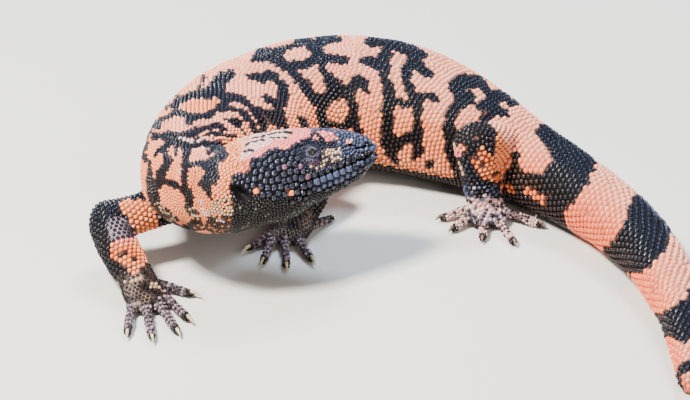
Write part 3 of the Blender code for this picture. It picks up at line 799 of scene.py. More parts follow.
# Black on the near side of neck, trunk and hips: x, y and half width in pixels of the frame.
NEAR_STROKES = (
    Stroke(((230, 75, 3.5), (224, 79, 6), (219, 84, 7), (215, 90, 6), (209, 94, 5), (201, 95, 4), (194, 96, 3),
            (187, 98, 3), (181, 101, 3), (177, 105, 2.5), (176, 109, 3), (179, 113, 2.5), (185, 115, 2.5),
            (190, 117, 3), (197, 117, 3), (205, 115.5, 3), (212, 112.5, 3), (218, 109, 2.5))),
    Stroke(((188, 119, 2.5), (190, 123, 2))),
    Stroke(((220, 92, 4), (223, 98, 4), (226, 101, 4), (222, 106, 4), (216, 109, 3))),
    Stroke(((205, 79, 1), (202, 83, 1), (200, 86, 1))),
    Stroke(((180, 98, 1), (172, 106, 1), (167, 109, 1))),
    Stroke(((176, 113, 1.5), (170, 117, 1.8), (165, 119, 1.5), (160, 123, 2.5), (157, 128, 2), (155, 126, 2))),
    Stroke(((156, 120, 1.5), (151, 128, 2), (149, 135, 2), (146, 143, 2), (145, 150, 2))),
    Stroke(((228, 97, 3), (234, 97, 3), (240, 99, 3), (245, 102, 3), (249, 105, 2.5), (253, 109, 3),
            (256, 114, 3.5), (260, 119, 4), (263, 124, 3.5), (262, 130, 2.5), (258, 134, 2))),
    Stroke(((256, 108, 1.5), (262, 111, 2), (267, 114, 2.5), (272, 117, 3), (275, 121, 3), (277, 125, 2))),
    Stroke(((222, 107, 3), (230, 108.5, 2), (237, 111, 1.5), (243, 114, 2.5), (248, 119, 3), (252, 124, 2.5),
            (255, 130, 2.5), (258, 134, 2))),
    Stroke(((153, 137, 2), (155, 136, 3), (162, 136, 3.5), (170, 136, 3.5), (178, 137, 3.5), (186, 136, 3.5),
            (192, 134, 3.5), (198, 131, 3), (205, 128.5, 2.5), (212, 126.5, 2.5), (218, 126, 2.5), (224, 129, 2),
            (226, 130, 1))),
    Stroke(((196, 139, 1), (202, 136.5, 1), (208, 134, 1), (214, 133, 1), (220, 134, 1), (225, 136, 1),
            (230, 137, 1.5), (235, 137.5, 1.5))),
    Stroke(((170, 140, 3.5), (176, 142, 3.5), (182, 143, 3.5), (186, 147, 4), (190, 146, 4), (196, 145, 3),
            (201, 143, 2.5), (206, 145, 3.5), (212, 147, 4.5), (218, 148, 4.5), (224, 151, 4), (229, 154, 2.5))),
    Stroke(((222, 157, 3), (217, 158, 2.5), (213, 160, 2.5))),
    Stroke(((209, 152, 2),)),
    Stroke(((172, 143, 2.5), (166, 147, 2.5), (165, 151, 2.5), (166, 157, 2.5), (167, 162, 3), (165, 167, 3.5),
            (162, 172, 3.5), (160, 178, 3.5), (159, 184, 4), (157, 190, 4), (156, 196, 4), (157, 200, 3))),
    Stroke(((177, 147, 1.2), (176, 155, 1.2))),
    Stroke(((170, 158, 1.5), (171, 162, 1))),
    Stroke(((160, 180, 3), (167, 182, 2.5), (174, 185, 3), (180, 188, 3), (184, 192, 3))),
    Stroke(((156, 155, 1.3), (159, 150, 1.3))),
    Stroke(((186, 147, 4), (186, 155, 3), (186, 163, 3.5), (186, 170, 3.5), (185, 177, 3), (185, 183, 3.5),
            (187, 190, 3.5), (189, 196, 3.5), (190, 207, 3.5))),
    Stroke(((190, 165, 1.5), (200, 163, 2))),
    Stroke(((145, 155, 2), (147, 160, 2), (150, 163, 2), (150, 170, 2), (151, 176, 2.5), (151, 181, 3),
            (152, 186, 3.5), (153, 192, 4), (154, 198, 3.5))),
    Stroke(((253, 61, 1.5), (262, 56, 5.5), (270, 55, 5), (278, 53, 3.5), (286, 50, 1.5), (294, 46, 1.5),
            (300, 43, 3), (306, 43, 4), (311, 46, 4), (316, 48, 4))),
    Stroke(((320, 43, 5), (326, 40, 4), (333, 39, 3.5), (339, 41, 2))),
    Stroke(((316, 48, 4), (319, 53, 5), (320, 58, 5), (330, 59, 3.5), (337, 60, 4), (343, 60, 3.5), (346, 61, 2.5))),
    Stroke(((272, 58, 4), (279, 61, 4), (284, 65, 4), (290, 68, 4), (296, 66, 3.5), (304, 65, 3), (311, 61, 3.5),
            (317, 59, 4))),
    Stroke(((290, 68, 4), (294, 73, 4), (299, 78, 4), (303, 84, 4), (307, 90, 4.5), (311, 96, 5), (316, 101, 5),
            (320, 107, 4.5), (321, 114, 3), (322, 120, 3), (324, 126, 3), (327, 129, 2.5))),
    Stroke(((320, 63, 2.5), (323, 69, 2.5), (326, 75, 3), (329, 79, 4.5), (332, 82, 5.5), (333, 89, 6), (332, 95, 6),
            (327, 98, 5), (323, 103, 4.5), (320, 107, 4.5))),
    Stroke(((334, 84, 4), (341, 89, 4.5), (348, 90, 4), (354, 87, 4), (358, 81, 5), (363, 83, 4.5), (366, 89, 3),
            (368, 92, 1.5))),
    Stroke(((345, 93, 5), (350, 98, 5), (353, 104, 4.5), (354, 110, 4), (355, 117, 3.5), (355, 124, 3.5),
            (357, 130, 3), (362, 132, 2))),
    Stroke(((351, 113, 3), (351, 120, 3.5), (349, 126, 3))),
    Stroke(((326, 126, 2), (333, 125, 1.5), (339, 126.5, 1.5), (347, 126, 2.5))),
    Stroke(((250, 77, 2), (257, 77, 3), (263, 79, 3), (268, 75, 4), (273, 75, 3.5), (277, 80, 4), (282, 86, 4.5),
            (283, 93, 4.5), (283, 100, 4.5), (281, 106, 4.5), (279, 112, 5), (279, 118, 5), (281, 124, 4),
            (286, 126, 2.5))),
    Stroke(((264, 97, 1), (270, 101, 2.5), (275, 104, 3))),
    Stroke(((301, 120, 1.8), (302, 124, 2.2), (305, 129, 2))),
    Stroke(((368, 43, 2.5), (374, 43, 3.5), (381, 42, 3.5), (388, 45, 3.5), (396, 47, 4), (404, 49, 4.5),
            (411, 52, 5), (417, 55, 5), (423, 55, 2.5))),
    Stroke(((387, 50, 5), (385, 57, 6), (384, 64, 5), (386, 71, 4.5), (384, 76, 2.5), (386, 82, 3.5), (389, 88, 5),
            (389, 95, 5.5), (389, 102, 5.5), (388, 109, 5), (387, 116, 4), (388, 123, 5.5), (387, 130, 5.5),
            (387, 137, 6), (388, 144, 6), (391, 150, 7), (393, 155, 4), (396, 160, 2.5))),
    Stroke(((361, 61, 2), (366, 60, 3), (372, 63, 4), (378, 65, 5), (384, 67, 5))),
    Stroke(((411, 57, 4.5), (412, 64, 5), (408, 71, 4.5), (406, 76, 3.5), (407, 82, 3.5), (410, 88, 4.5),
            (412, 94, 4), (414, 100, 4), (417, 106, 4.5), (417, 117, 3.5), (417, 128, 4), (418, 136, 4),
            (418, 144, 4.5), (418, 151, 4.5), (415, 157, 3))),
    Stroke(((415, 62, 5), (420, 67, 4), (425, 71, 3.5), (430, 74, 2.5))),
    Stroke(((414, 99, 3.5), (421, 98, 4), (427, 96, 3.5), (433, 96, 4), (438, 98, 2))),
    Stroke(((397, 101, 3), (403, 104, 2.5), (410, 103, 3))),
    Stroke(((396, 140, 3.5), (402, 141, 3.5), (408, 137, 3.5), (413, 138, 3.5))),
    Stroke(((398, 147, 3),)),
    Stroke(((429, 164, 2.5),)),
    Stroke(((451, 88, 2.5), (457, 84, 5), (463, 82, 6.5), (470, 82, 6), (477, 82, 5), (483, 86, 3), (487, 91, 2.5),
            (490, 95, 3), (495, 97, 4), (501, 96, 4), (507, 100, 2.5), (512, 103, 2), (515, 105, 1.5))),
    Stroke(((460, 90, 6), (461, 97, 6.5), (463, 102, 6), (458, 106, 4), (453, 109, 4), (452, 115, 5), (450, 122, 5),
            (448, 129, 5), (450, 136, 6), (451, 143, 6), (450, 150, 5), (453, 157, 4), (456, 165, 4),
            (460, 172, 3))),
    Stroke(((470, 99, 4), (470, 94, 3))),
    Stroke(((492, 101, 4), (490, 106, 5), (484, 107, 4), (479, 107, 2))),
    Stroke(((495, 108, 6), (500, 112, 4), (506, 114, 2))),
    Stroke(((490, 115, 4.5), (484, 117, 3.5), (480, 119, 2), (487, 121, 2))),
    Stroke(((503, 138, 0.8), (508, 144, 1.2), (513, 151, 3), (517, 157, 3.5))),
)
NEAR_BLACK_AREAS = (
    Patch(((222, 119), (228, 118), (234, 117), (240, 119), (244, 122), (242, 127), (241, 129), (246, 133),
           (250, 137), (247, 138), (242, 132), (236, 128), (230, 125), (225, 121))),
    Patch(((190, 163), (197, 161), (203, 160), (213, 160), (219, 160), (219, 170), (220, 178), (218, 183),
           (213, 186), (211, 190), (212, 197), (212, 200), (208, 197), (203, 190), (199, 185), (199, 180),
           (204, 176), (205, 170), (200, 167), (194, 166), (190, 168))),
    Patch(((187, 208), (192, 207), (198, 211), (200, 218), (194, 216), (188, 214))),
    Patch(((147, 202), (158, 202), (164, 205), (170, 210), (175, 214), (180, 219), (176, 224), (172, 224),
           (164, 221), (157, 215), (150, 210))),
)

# What the head and the near thigh hide in the frame, and the black there, by distance behind the head and angle.
HIDDEN_AREAS = (
    Patch(((240, 142), (256, 135), (272, 131), (296, 128), (318, 130), (345, 130), (364, 134), (376, 150),
           (374, 176), (350, 205), (300, 260), (196, 260), (196, 231), (228, 222), (233, 205), (232, 176),
           (238, 160))),
    Patch(((455, 128), (470, 121), (486, 125), (496, 134), (508, 146), (512, 158), (505, 186), (500, 205),
           (458, 205), (452, 165))),
)
FOLD = ((0, -176), (6, -169), (12, -150), (18, -120), (24, -105), (30, -90), (42, -83), (54, -71), (72, -60),
        (96, -49), (120, -41), (140, -38))
NAPE_EDGE = ((120, 262), (137, 250), (150, 244), (163, 238), (175, 232), (190, 230), (200, 231), (215, 233))
HIDDEN_STROKES = (
    Stroke(((57, 50, 2), (61, 54, 4), (63, 60, 3.5), (60, 72, 3), (60, 88, 3))),
    Stroke(((75, 66, 2), (76, 72, 2), (74, 82, 2))),
    Stroke(((98, 56, 5.5), (98, 66, 5), (97, 76, 4.5), (98, 88, 4))),
    Stroke(((112, 48, 4), (120, 52, 6.5), (130, 54, 6.5), (140, 54, 6), (146, 48, 5))),
    Stroke(((143, 58, 5), (148, 68, 5), (149, 78, 4), (148, 90, 3))),
    Stroke(((36, 52, 1), (36, 70, 2))),
    Stroke(((46, 52, 2.5), (47, 62, 2), (47, 80, 2))),
    Stroke(((201, 62, 2.5), (202, 75, 2.5), (204, 88, 2.5), (205, 100, 3), (205, 112, 3))),
    Stroke(((192, 99, 1.2), (193, 107, 1.5))),
)


@dataclass(frozen=True)
class TailBand:
    """A black band round the tail: its fore and hind edges as angle round from the back and distance."""

    fore: tuple
    hind: tuple

    def depth(self, along: Array, turn: Array) -> Array:
        """How far inside the band each place is."""
        fore = np.interp(turn, *np.array(self.fore, float).T)
        hind = np.interp(turn, *np.array(self.hind, float).T)
        return np.minimum(along - fore, hind - along)


TAIL_BANDS = (
    TailBand(
        ((-180, 232), (-90, 226), (-40, 225), (-15, 225), (0, 228), (8, 238), (16, 243), (30, 246), (58, 246),
         (66, 236), (78, 228), (110, 227), (180, 232)),
        ((-180, 262), (-45, 252), (-30, 256), (-10, 260), (5, 264), (20, 267), (40, 268), (60, 267), (80, 265),
         (100, 262), (180, 262)),
    ),
    TailBand(
        ((-180, 286), (-40, 282), (-25, 284), (-5, 288), (10, 293), (25, 298), (45, 300), (75, 300), (90, 298),
         (105, 293), (120, 289), (180, 286)),
        ((-180, 311), (-40, 309), (-30, 314), (-15, 319), (5, 325), (25, 328), (45, 329), (60, 328), (75, 325),
         (90, 321), (110, 314), (180, 311)),
    ),
    TailBand(
        ((-180, 345), (-40, 347), (-20, 351), (0, 359), (25, 362), (60, 361), (80, 357), (100, 351), (120, 345),
         (180, 345)),
        ((-180, 366), (-40, 372), (-20, 377), (0, 382), (20, 383.5), (40, 382), (60, 379), (80, 373), (100, 368),
         (120, 366), (180, 366)),
    ),
    TailBand(((-180, 394), (180, 394)), ((-180, 400), (180, 400))),
)


class Tone(Enum):
    """The colours of the animal."""

    BLACK = (34, 26, 30)
    # Black on the back, tinted blue as a painted sky reflection.
    BLACK_BACK = (16, 22, 42)
    BLACK_LOW = (44, 28, 28)
    PINK_BACK = (255, 168, 136)
    PINK_FLANK = (255, 147, 94)
    PINK_TAIL = (255, 120, 74)
    ORANGE = (232, 118, 66)
    CROWN_PINK = (250, 136, 128)
    PALE = (240, 192, 184)
    CREAM = (202, 166, 130)
    LAVENDER = (186, 162, 172)
    HAND_NET = (150, 124, 104)
    LID = (34, 36, 54)
    LID_EDGE = (100, 102, 128)
    SLATE = (28, 30, 46)
    SLATE_LIGHT = (64, 72, 98)
    THROAT = (20, 12, 8)
    THROAT_SPECK = (100, 90, 84)
    PLUM = (112, 74, 92)
    BROWN = (62, 40, 30)
    BELLY = (96, 66, 48)
    SKIN_BLACK = (11, 8, 8)
    SKIN_PINK = (206, 142, 122)
    # Painted shade for the slit of the mouth, the pits of the nostrils, the cups of the ears and the snout's crease.
    MOUTH = (14, 9, 9)

    def linear(self) -> Array:
        """The tone as a material takes it."""
        return linear(*self.value)


@dataclass(frozen=True)
class Mark:
    """A coloured mark on the head or a limb, in pixels of the frame.

    Attributes:
        tone: Its colour.
        shape: A stroke or an area.
        share: How many of the beads inside take the colour.
        skin: The colour of the skin between them, darkened as painted shade; without it, the beads' colour darkened
            further as painted shade.
    """

    tone: Tone
    shape: "Stroke | Patch"
    share: float = 1.0
    skin: "Tone | None" = None


CROWN_AREA = Patch(((224, 170), (238, 163), (238, 176), (246, 173), (250, 168), (250, 161), (255, 157), (262, 156),
                    (268, 150), (272, 151), (280, 149), (290, 149), (295, 145), (300, 141), (306, 139), (310, 137),
                    (312, 133), (311, 128), (308, 120), (292, 112), (222, 130)))
THROAT_AREA = Patch(((222, 197), (262, 198), (296, 201), (314, 194), (345, 184), (364, 172), (380, 166), (380, 250),
                     (222, 250)))
CHEEK_AREA = Patch(((318, 146), (330, 141), (343, 145), (343, 161), (325, 171), (313, 174), (306, 168), (306, 160),
                    (318, 158)))
BODY_MARKS = (
    Mark(Tone.PINK_FLANK, Patch(((181, 107), (187, 103), (196, 101), (206, 101), (215, 99), (219, 103), (214, 109),
                                 (205, 112.5), (196, 114), (187, 112)))),
    Mark(Tone.PINK_FLANK, Patch(((188, 176), (189, 170), (194, 167), (200, 168), (204, 171), (204, 176), (200, 179),
                                 (198, 184), (201, 190), (205, 195), (209, 200), (211, 204), (210, 210),
                                 (206, 216), (201, 214), (196, 208), (194, 200), (193, 194), (190, 188),
                                 (188, 182)))),
    Mark(Tone.PINK_FLANK, Patch(((160, 190), (164, 187), (170, 188), (176, 189), (181, 192), (184, 198), (185, 212),
                                 (186, 218), (190, 222), (195, 226), (199, 230), (187, 224), (181, 218),
                                 (170, 207), (164, 202), (160, 197)))),
    Mark(Tone.PINK_FLANK, Patch(((222, 140), (240, 138), (240, 160), (236, 168), (232, 172), (230, 190), (227, 200),
                                 (213, 199), (212, 192), (213, 187), (218, 184), (220, 178), (220, 168),
                                 (221, 162), (231, 155), (224, 146)))),
    Mark(Tone.PALE, Stroke(((180, 138, 1.2), (187, 141, 1.4), (193, 142, 1.4), (199, 141, 1.4), (206, 139, 1.2),
                            (212, 137, 1.0))), 0.85),
    Mark(Tone.PALE, Stroke(((200, 203, 4), (204, 210, 4), (206, 214, 3))), 0.5),
    Mark(Tone.CREAM, Patch(((147, 202), (158, 202), (164, 205), (170, 210), (175, 214), (180, 219), (176, 224),
                            (172, 224), (164, 221), (157, 215), (150, 210))), 0.28, Tone.CREAM),
    Mark(Tone.CREAM, Patch(((187, 208), (192, 207), (198, 211), (200, 218), (194, 216), (188, 214))), 0.35,
         Tone.CREAM),
    Mark(Tone.CREAM, Patch(((212, 201), (218, 200), (226, 198), (229, 192), (230, 205), (233, 210), (231, 216),
                            (222, 216), (208, 216), (210, 208))), 0.8, Tone.SKIN_BLACK),
    Mark(Tone.BROWN, Patch(((195, 217), (234, 216), (250, 214), (262, 214), (262, 240), (170, 240), (180, 226))),
         0.9, Tone.SKIN_BLACK),
    Mark(Tone.PINK_FLANK, Stroke(((205, 219, 2.6),))),
    Mark(Tone.ORANGE, Stroke(((230, 219.5, 2.2), (240, 221.5, 2.2))), 0.7),
    Mark(Tone.PALE, Stroke(((218, 220, 1.8), (223, 221, 1.8)))),
    Mark(Tone.BLACK, Stroke(((154, 216, 1.5), (160, 220, 2), (166, 224, 2), (172, 227, 2), (178, 225, 2),
                             (184, 227, 2), (190, 229, 2)))),
    Mark(Tone.BROWN, Patch(((508, 148), (514, 150), (518, 156), (518, 164), (522, 170), (527, 175), (534, 177),
                            (540, 176), (541, 185), (540, 192), (534, 190), (528, 186), (524, 190), (518, 193),
                            (512, 187), (505, 184), (500, 182), (498, 176), (500, 172), (506, 170), (509, 164),
                            (510, 156))), 0.9, Tone.SKIN_BLACK),
    Mark(Tone.ORANGE, Patch(((503, 183), (508, 183), (513, 187), (516, 193), (510, 191), (504, 187)))),
    Mark(Tone.ORANGE, Patch(((524, 190), (530, 187), (536, 192), (541, 200), (536, 201), (528, 195)))),
    Mark(Tone.ORANGE, Patch(((541, 193), (545, 196), (547, 204), (546, 210), (541, 205)))),
    Mark(Tone.PINK_FLANK, Stroke(((550, 195, 1.6),))),
    Mark(Tone.PINK_FLANK, Stroke(((485, 113, 2),))),
)
HEAD_MARKS = (
    Mark(Tone.THROAT, THROAT_AREA, skin=Tone.SKIN_BLACK),
    Mark(Tone.THROAT_SPECK, Patch(((240, 206), (296, 206), (345, 188), (372, 172), (372, 240), (240, 240))), 0.1),
    Mark(Tone.SLATE_LIGHT, Patch(((311, 120), (352, 124), (376, 140), (376, 150), (362, 153), (347, 157), (341, 158),
                                  (341, 148), (334, 141), (312, 134)))),
    Mark(Tone.SLATE, Patch(((334, 141), (341, 139), (344, 147), (341, 150), (332, 146))), 0.5),
    Mark(Tone.SLATE_LIGHT, Stroke(((314, 187, 3.5), (320, 184, 4.2), (328, 181, 4.2), (336, 178, 4.2),
                                   (343, 175, 4.2), (350, 171, 4.2), (356, 168, 4.2), (362, 164, 4.2),
                                   (370, 159, 4.0))), 0.85),
    Mark(Tone.PALE, Patch(((224, 170), (238, 163), (246, 157), (254, 153), (258, 149), (268, 145), (272, 141),
                           (285, 139), (290, 134), (292, 129), (300, 122), (292, 112), (222, 130))), 1.0, Tone.PALE),
    Mark(Tone.CROWN_PINK, Patch(((238, 163), (246, 157), (254, 153), (258, 149), (268, 145), (272, 141), (285, 139),
                                 (290, 134), (292, 129), (300, 122), (310, 122), (312, 133), (310, 137), (306, 139),
                                 (300, 141), (295, 145), (290, 149), (280, 149), (272, 151), (268, 150),
                                 (262, 156), (255, 157), (250, 161), (250, 168), (246, 173), (236, 173))), 1.0,
         Tone.CROWN_PINK),
    Mark(Tone.ORANGE, Patch(((238, 164), (248, 160), (251, 166), (246, 174), (236, 174))), 0.7),
    Mark(Tone.BLACK, Stroke(((239, 149, 1), (243, 147, 1.5), (247, 145, 1), (252, 142, 0.8), (263, 140, 0.8)))),
    Mark(Tone.BLACK, Stroke(((250, 139, 0.7), (258, 137.5, 0.8), (265, 137, 0.8)))),
    Mark(Tone.BLACK, Stroke(((262, 136, 0.7), (270, 134.5, 0.8), (278, 133, 0.9), (285, 132, 1), (292, 133, 1.5)))),
    Mark(Tone.BLACK, Stroke(((270, 138, 0.8), (280, 138, 0.9), (286, 138, 1.3)))),
    Mark(Tone.BLACK, Stroke(((245, 152, 0.8), (250, 151, 1), (255, 149.5, 0.9)))),
    Mark(Tone.CROWN_PINK, Patch(((312, 134), (320, 131.5), (330, 132.5), (338, 136), (338, 140), (330, 141),
                                 (322, 139), (314, 140))), 0.85),
    Mark(Tone.BLACK, Stroke(((317, 134, 1.4),))),
    Mark(Tone.BLACK, Stroke(((320.5, 138, 1.5), (326, 141, 1.0)))),
    Mark(Tone.CREAM, Patch(((321, 150), (330, 147), (341, 148), (341, 160), (325, 170), (313, 174), (308, 168),
                            (322, 160))), 0.5, Tone.BROWN),
    Mark(Tone.PALE, Stroke(((337, 150, 2.2), (338, 160, 2.2))), 0.7, Tone.CREAM),
    Mark(Tone.PLUM, Patch(((307, 158), (316, 158), (321, 161), (318, 166), (308, 167))), 0.75),
    Mark(Tone.LID, Stroke(((311.5, 152.5, 8.2),))),
    Mark(Tone.LID_EDGE, Stroke(((311.5, 152.5, 5.5),)), 0.8),
    Mark(Tone.LID_EDGE, Stroke(((319, 152, 1.2), (317, 158, 1.4), (311, 160.5, 1.4), (305, 159, 1.2))), 0.7),
    # Dark slate along the brow's crease: partly the brow's own dark scales, partly painted shadow under the brow
    # ridge.
    Mark(Tone.SLATE, Stroke(((296, 148, 1.2), (307, 143.5, 1.4), (318, 143.5, 1.2)))),
    # The snout's crease darkened: painted shade.
    Mark(Tone.MOUTH, Stroke(((351, 144, 1.0), (356, 147.5, 1.3), (362, 148, 1.3), (369, 145.5, 1.0)))),
    Mark(Tone.CROWN_PINK, Stroke(((350, 142, 3.8),)), 0.45),
    Mark(Tone.PALE, Stroke(((350, 142, 3.8),)), 0.4),
    Mark(Tone.PLUM, Stroke(((286, 166, 2.2),))),
    Mark(Tone.LAVENDER, Stroke(((291, 162, 1.8),))),
    Mark(Tone.PLUM, Stroke(((299, 166, 2.0),))),
    Mark(Tone.PINK_FLANK, Stroke(((257, 190, 3.4),))),
    Mark(Tone.PINK_FLANK, Stroke(((288, 193, 3.4),))),
    Mark(Tone.PLUM, Stroke(((306, 178, 1.6), (313, 175, 1.6)))),
)
ARM_RIGHT_MARKS = (
    Mark(Tone.PINK_FLANK, Patch(((120, 200), (150, 200), (160, 225), (177, 232), (190, 236), (150, 240), (140, 236),
                                 (132, 225), (122, 210)))),
    Mark(Tone.LAVENDER, Patch(((106, 220), (120, 216), (131, 222), (136, 232), (130, 239), (110, 239))), 0.2,
         Tone.LAVENDER),
    Mark(Tone.LAVENDER, Stroke(((148, 200, 3), (157, 209, 4), (168, 219, 4), (178, 224, 3))), 0.22),
    Mark(Tone.CROWN_PINK, Patch(((114, 239), (136, 236), (140, 244), (116, 248)))),
    Mark(Tone.PINK_FLANK, Patch(((111, 244), (140, 242), (151, 256), (147, 262), (140, 268), (142, 273), (135, 274),
                                 (122, 266), (112, 256)))),
    Mark(Tone.ORANGE, Patch(((110, 245), (132, 246), (145, 256), (145, 262), (112, 258))), 0.65),
    Mark(Tone.BLACK, Stroke(((126, 253, 2.8),))),
    Mark(Tone.BLACK, Stroke(((135, 260, 3.2),))),
    Mark(Tone.BLACK, Stroke(((120, 256, 2.0),))),
    Mark(Tone.BLACK, Stroke(((132, 266, 2.4),))),
    Mark(Tone.CROWN_PINK, Stroke(((137, 270, 2.4),))),
    Mark(Tone.BLACK, Stroke(((106, 240, 5), (104, 258, 5), (112, 266, 4), (122, 274, 4)))),
    Mark(Tone.BLACK, Patch(((147, 255), (158, 258), (156, 274), (145, 272)))),
    Mark(Tone.CREAM, Stroke(((110, 282, 0.9), (125, 282, 1.1), (138, 279, 1.1), (150, 274, 1.0))), 0.9, Tone.CREAM),
    Mark(Tone.CREAM, Stroke(((151, 285, 3.0), (157, 287, 3.0))), 0.75, Tone.CREAM),
)
ARM_LEFT_MARKS = (
    Mark(Tone.PINK_FLANK, Patch(((205, 180), (300, 180), (300, 205), (262, 212), (205, 215))), 0.6),
)
LEG_LEFT_MARKS = (
    Mark(Tone.PINK_BACK, Patch(((488, 112), (524, 112), (524, 150), (516, 178), (499, 178), (502, 168), (507, 160),
                                (509, 150), (504, 139), (497, 132), (489, 125)))),
    Mark(Tone.PINK_FLANK, Patch(((497, 131), (504, 138), (508, 146), (510, 156), (508, 165), (503, 170), (498, 172),
                                 (495, 160), (494, 152), (496, 141)))),
    Mark(Tone.BLACK, Patch(((454, 128), (462, 122), (470, 120), (480, 121), (488, 125), (493, 131), (495, 140),
                            (495, 147), (492, 154), (484, 150), (472, 153), (466, 165), (462, 178), (455, 165),
                            (450, 140)))),
    Mark(Tone.CREAM, Stroke(((455, 145, 0.9), (458, 158, 0.9), (461, 168, 0.9), (463, 175, 0.9))), 0.5, Tone.CREAM),
    Mark(Tone.CROWN_PINK, Patch(((455, 147), (460, 146), (462, 152), (460, 157), (456, 156)))),
    Mark(Tone.ORANGE, Patch(((469, 160), (473, 155), (479, 153), (485, 152), (490, 156), (494, 160), (497, 170),
                             (499, 178), (496, 182), (490, 181), (483, 178), (477, 173), (475, 167), (470, 162))),
         0.7),
    Mark(Tone.PINK_FLANK, Patch(((474, 160), (479, 154), (485, 153), (492, 158), (496, 170), (497, 180), (490, 180),
                                 (478, 172))), 0.5),
    Mark(Tone.PINK_FLANK, Stroke(((475.5, 138, 2.2),))),
    Mark(Tone.PINK_FLANK, Stroke(((482, 148, 2.2),))),
    Mark(Tone.PINK_FLANK, Stroke(((478.5, 151.5, 2.2),))),
    Mark(Tone.PINK_FLANK, Stroke(((462.5, 145, 2.2),))),
    Mark(Tone.PINK_FLANK, Stroke(((465.5, 149, 2.2),))),
    Mark(Tone.SLATE_LIGHT, Patch(((463, 184), (506, 182), (508, 200), (463, 202))), 0.45, Tone.SKIN_BLACK),
    Mark(Tone.LAVENDER, Patch(((463, 186), (506, 184), (508, 200), (463, 202))), 0.12),
    Mark(Tone.LAVENDER, Patch(((452, 204), (460, 200), (466, 202), (473, 197), (481, 200), (489, 196), (497, 200),
                               (503, 196), (510, 199), (514, 224), (450, 226))), 0.6, Tone.LAVENDER),
    Mark(Tone.PALE, Patch(((452, 204), (460, 200), (466, 202), (473, 197), (481, 200), (489, 196), (497, 200),
                           (503, 196), (510, 199), (508, 210), (486, 214), (455, 212))), 0.62, Tone.PALE),
    Mark(Tone.SLATE, Patch(((468, 208), (480, 204), (494, 207), (503, 203), (508, 224), (468, 226))), 0.3),
)
LEG_RIGHT_MARKS = ()
LIMB_MARKS = (ARM_RIGHT_MARKS, ARM_LEFT_MARKS, LEG_LEFT_MARKS, LEG_RIGHT_MARKS)


@dataclass
class Paint:
    """Colours for a set of places: of a bead there, and of the skin under it."""

    bead: Array
    skin: Array


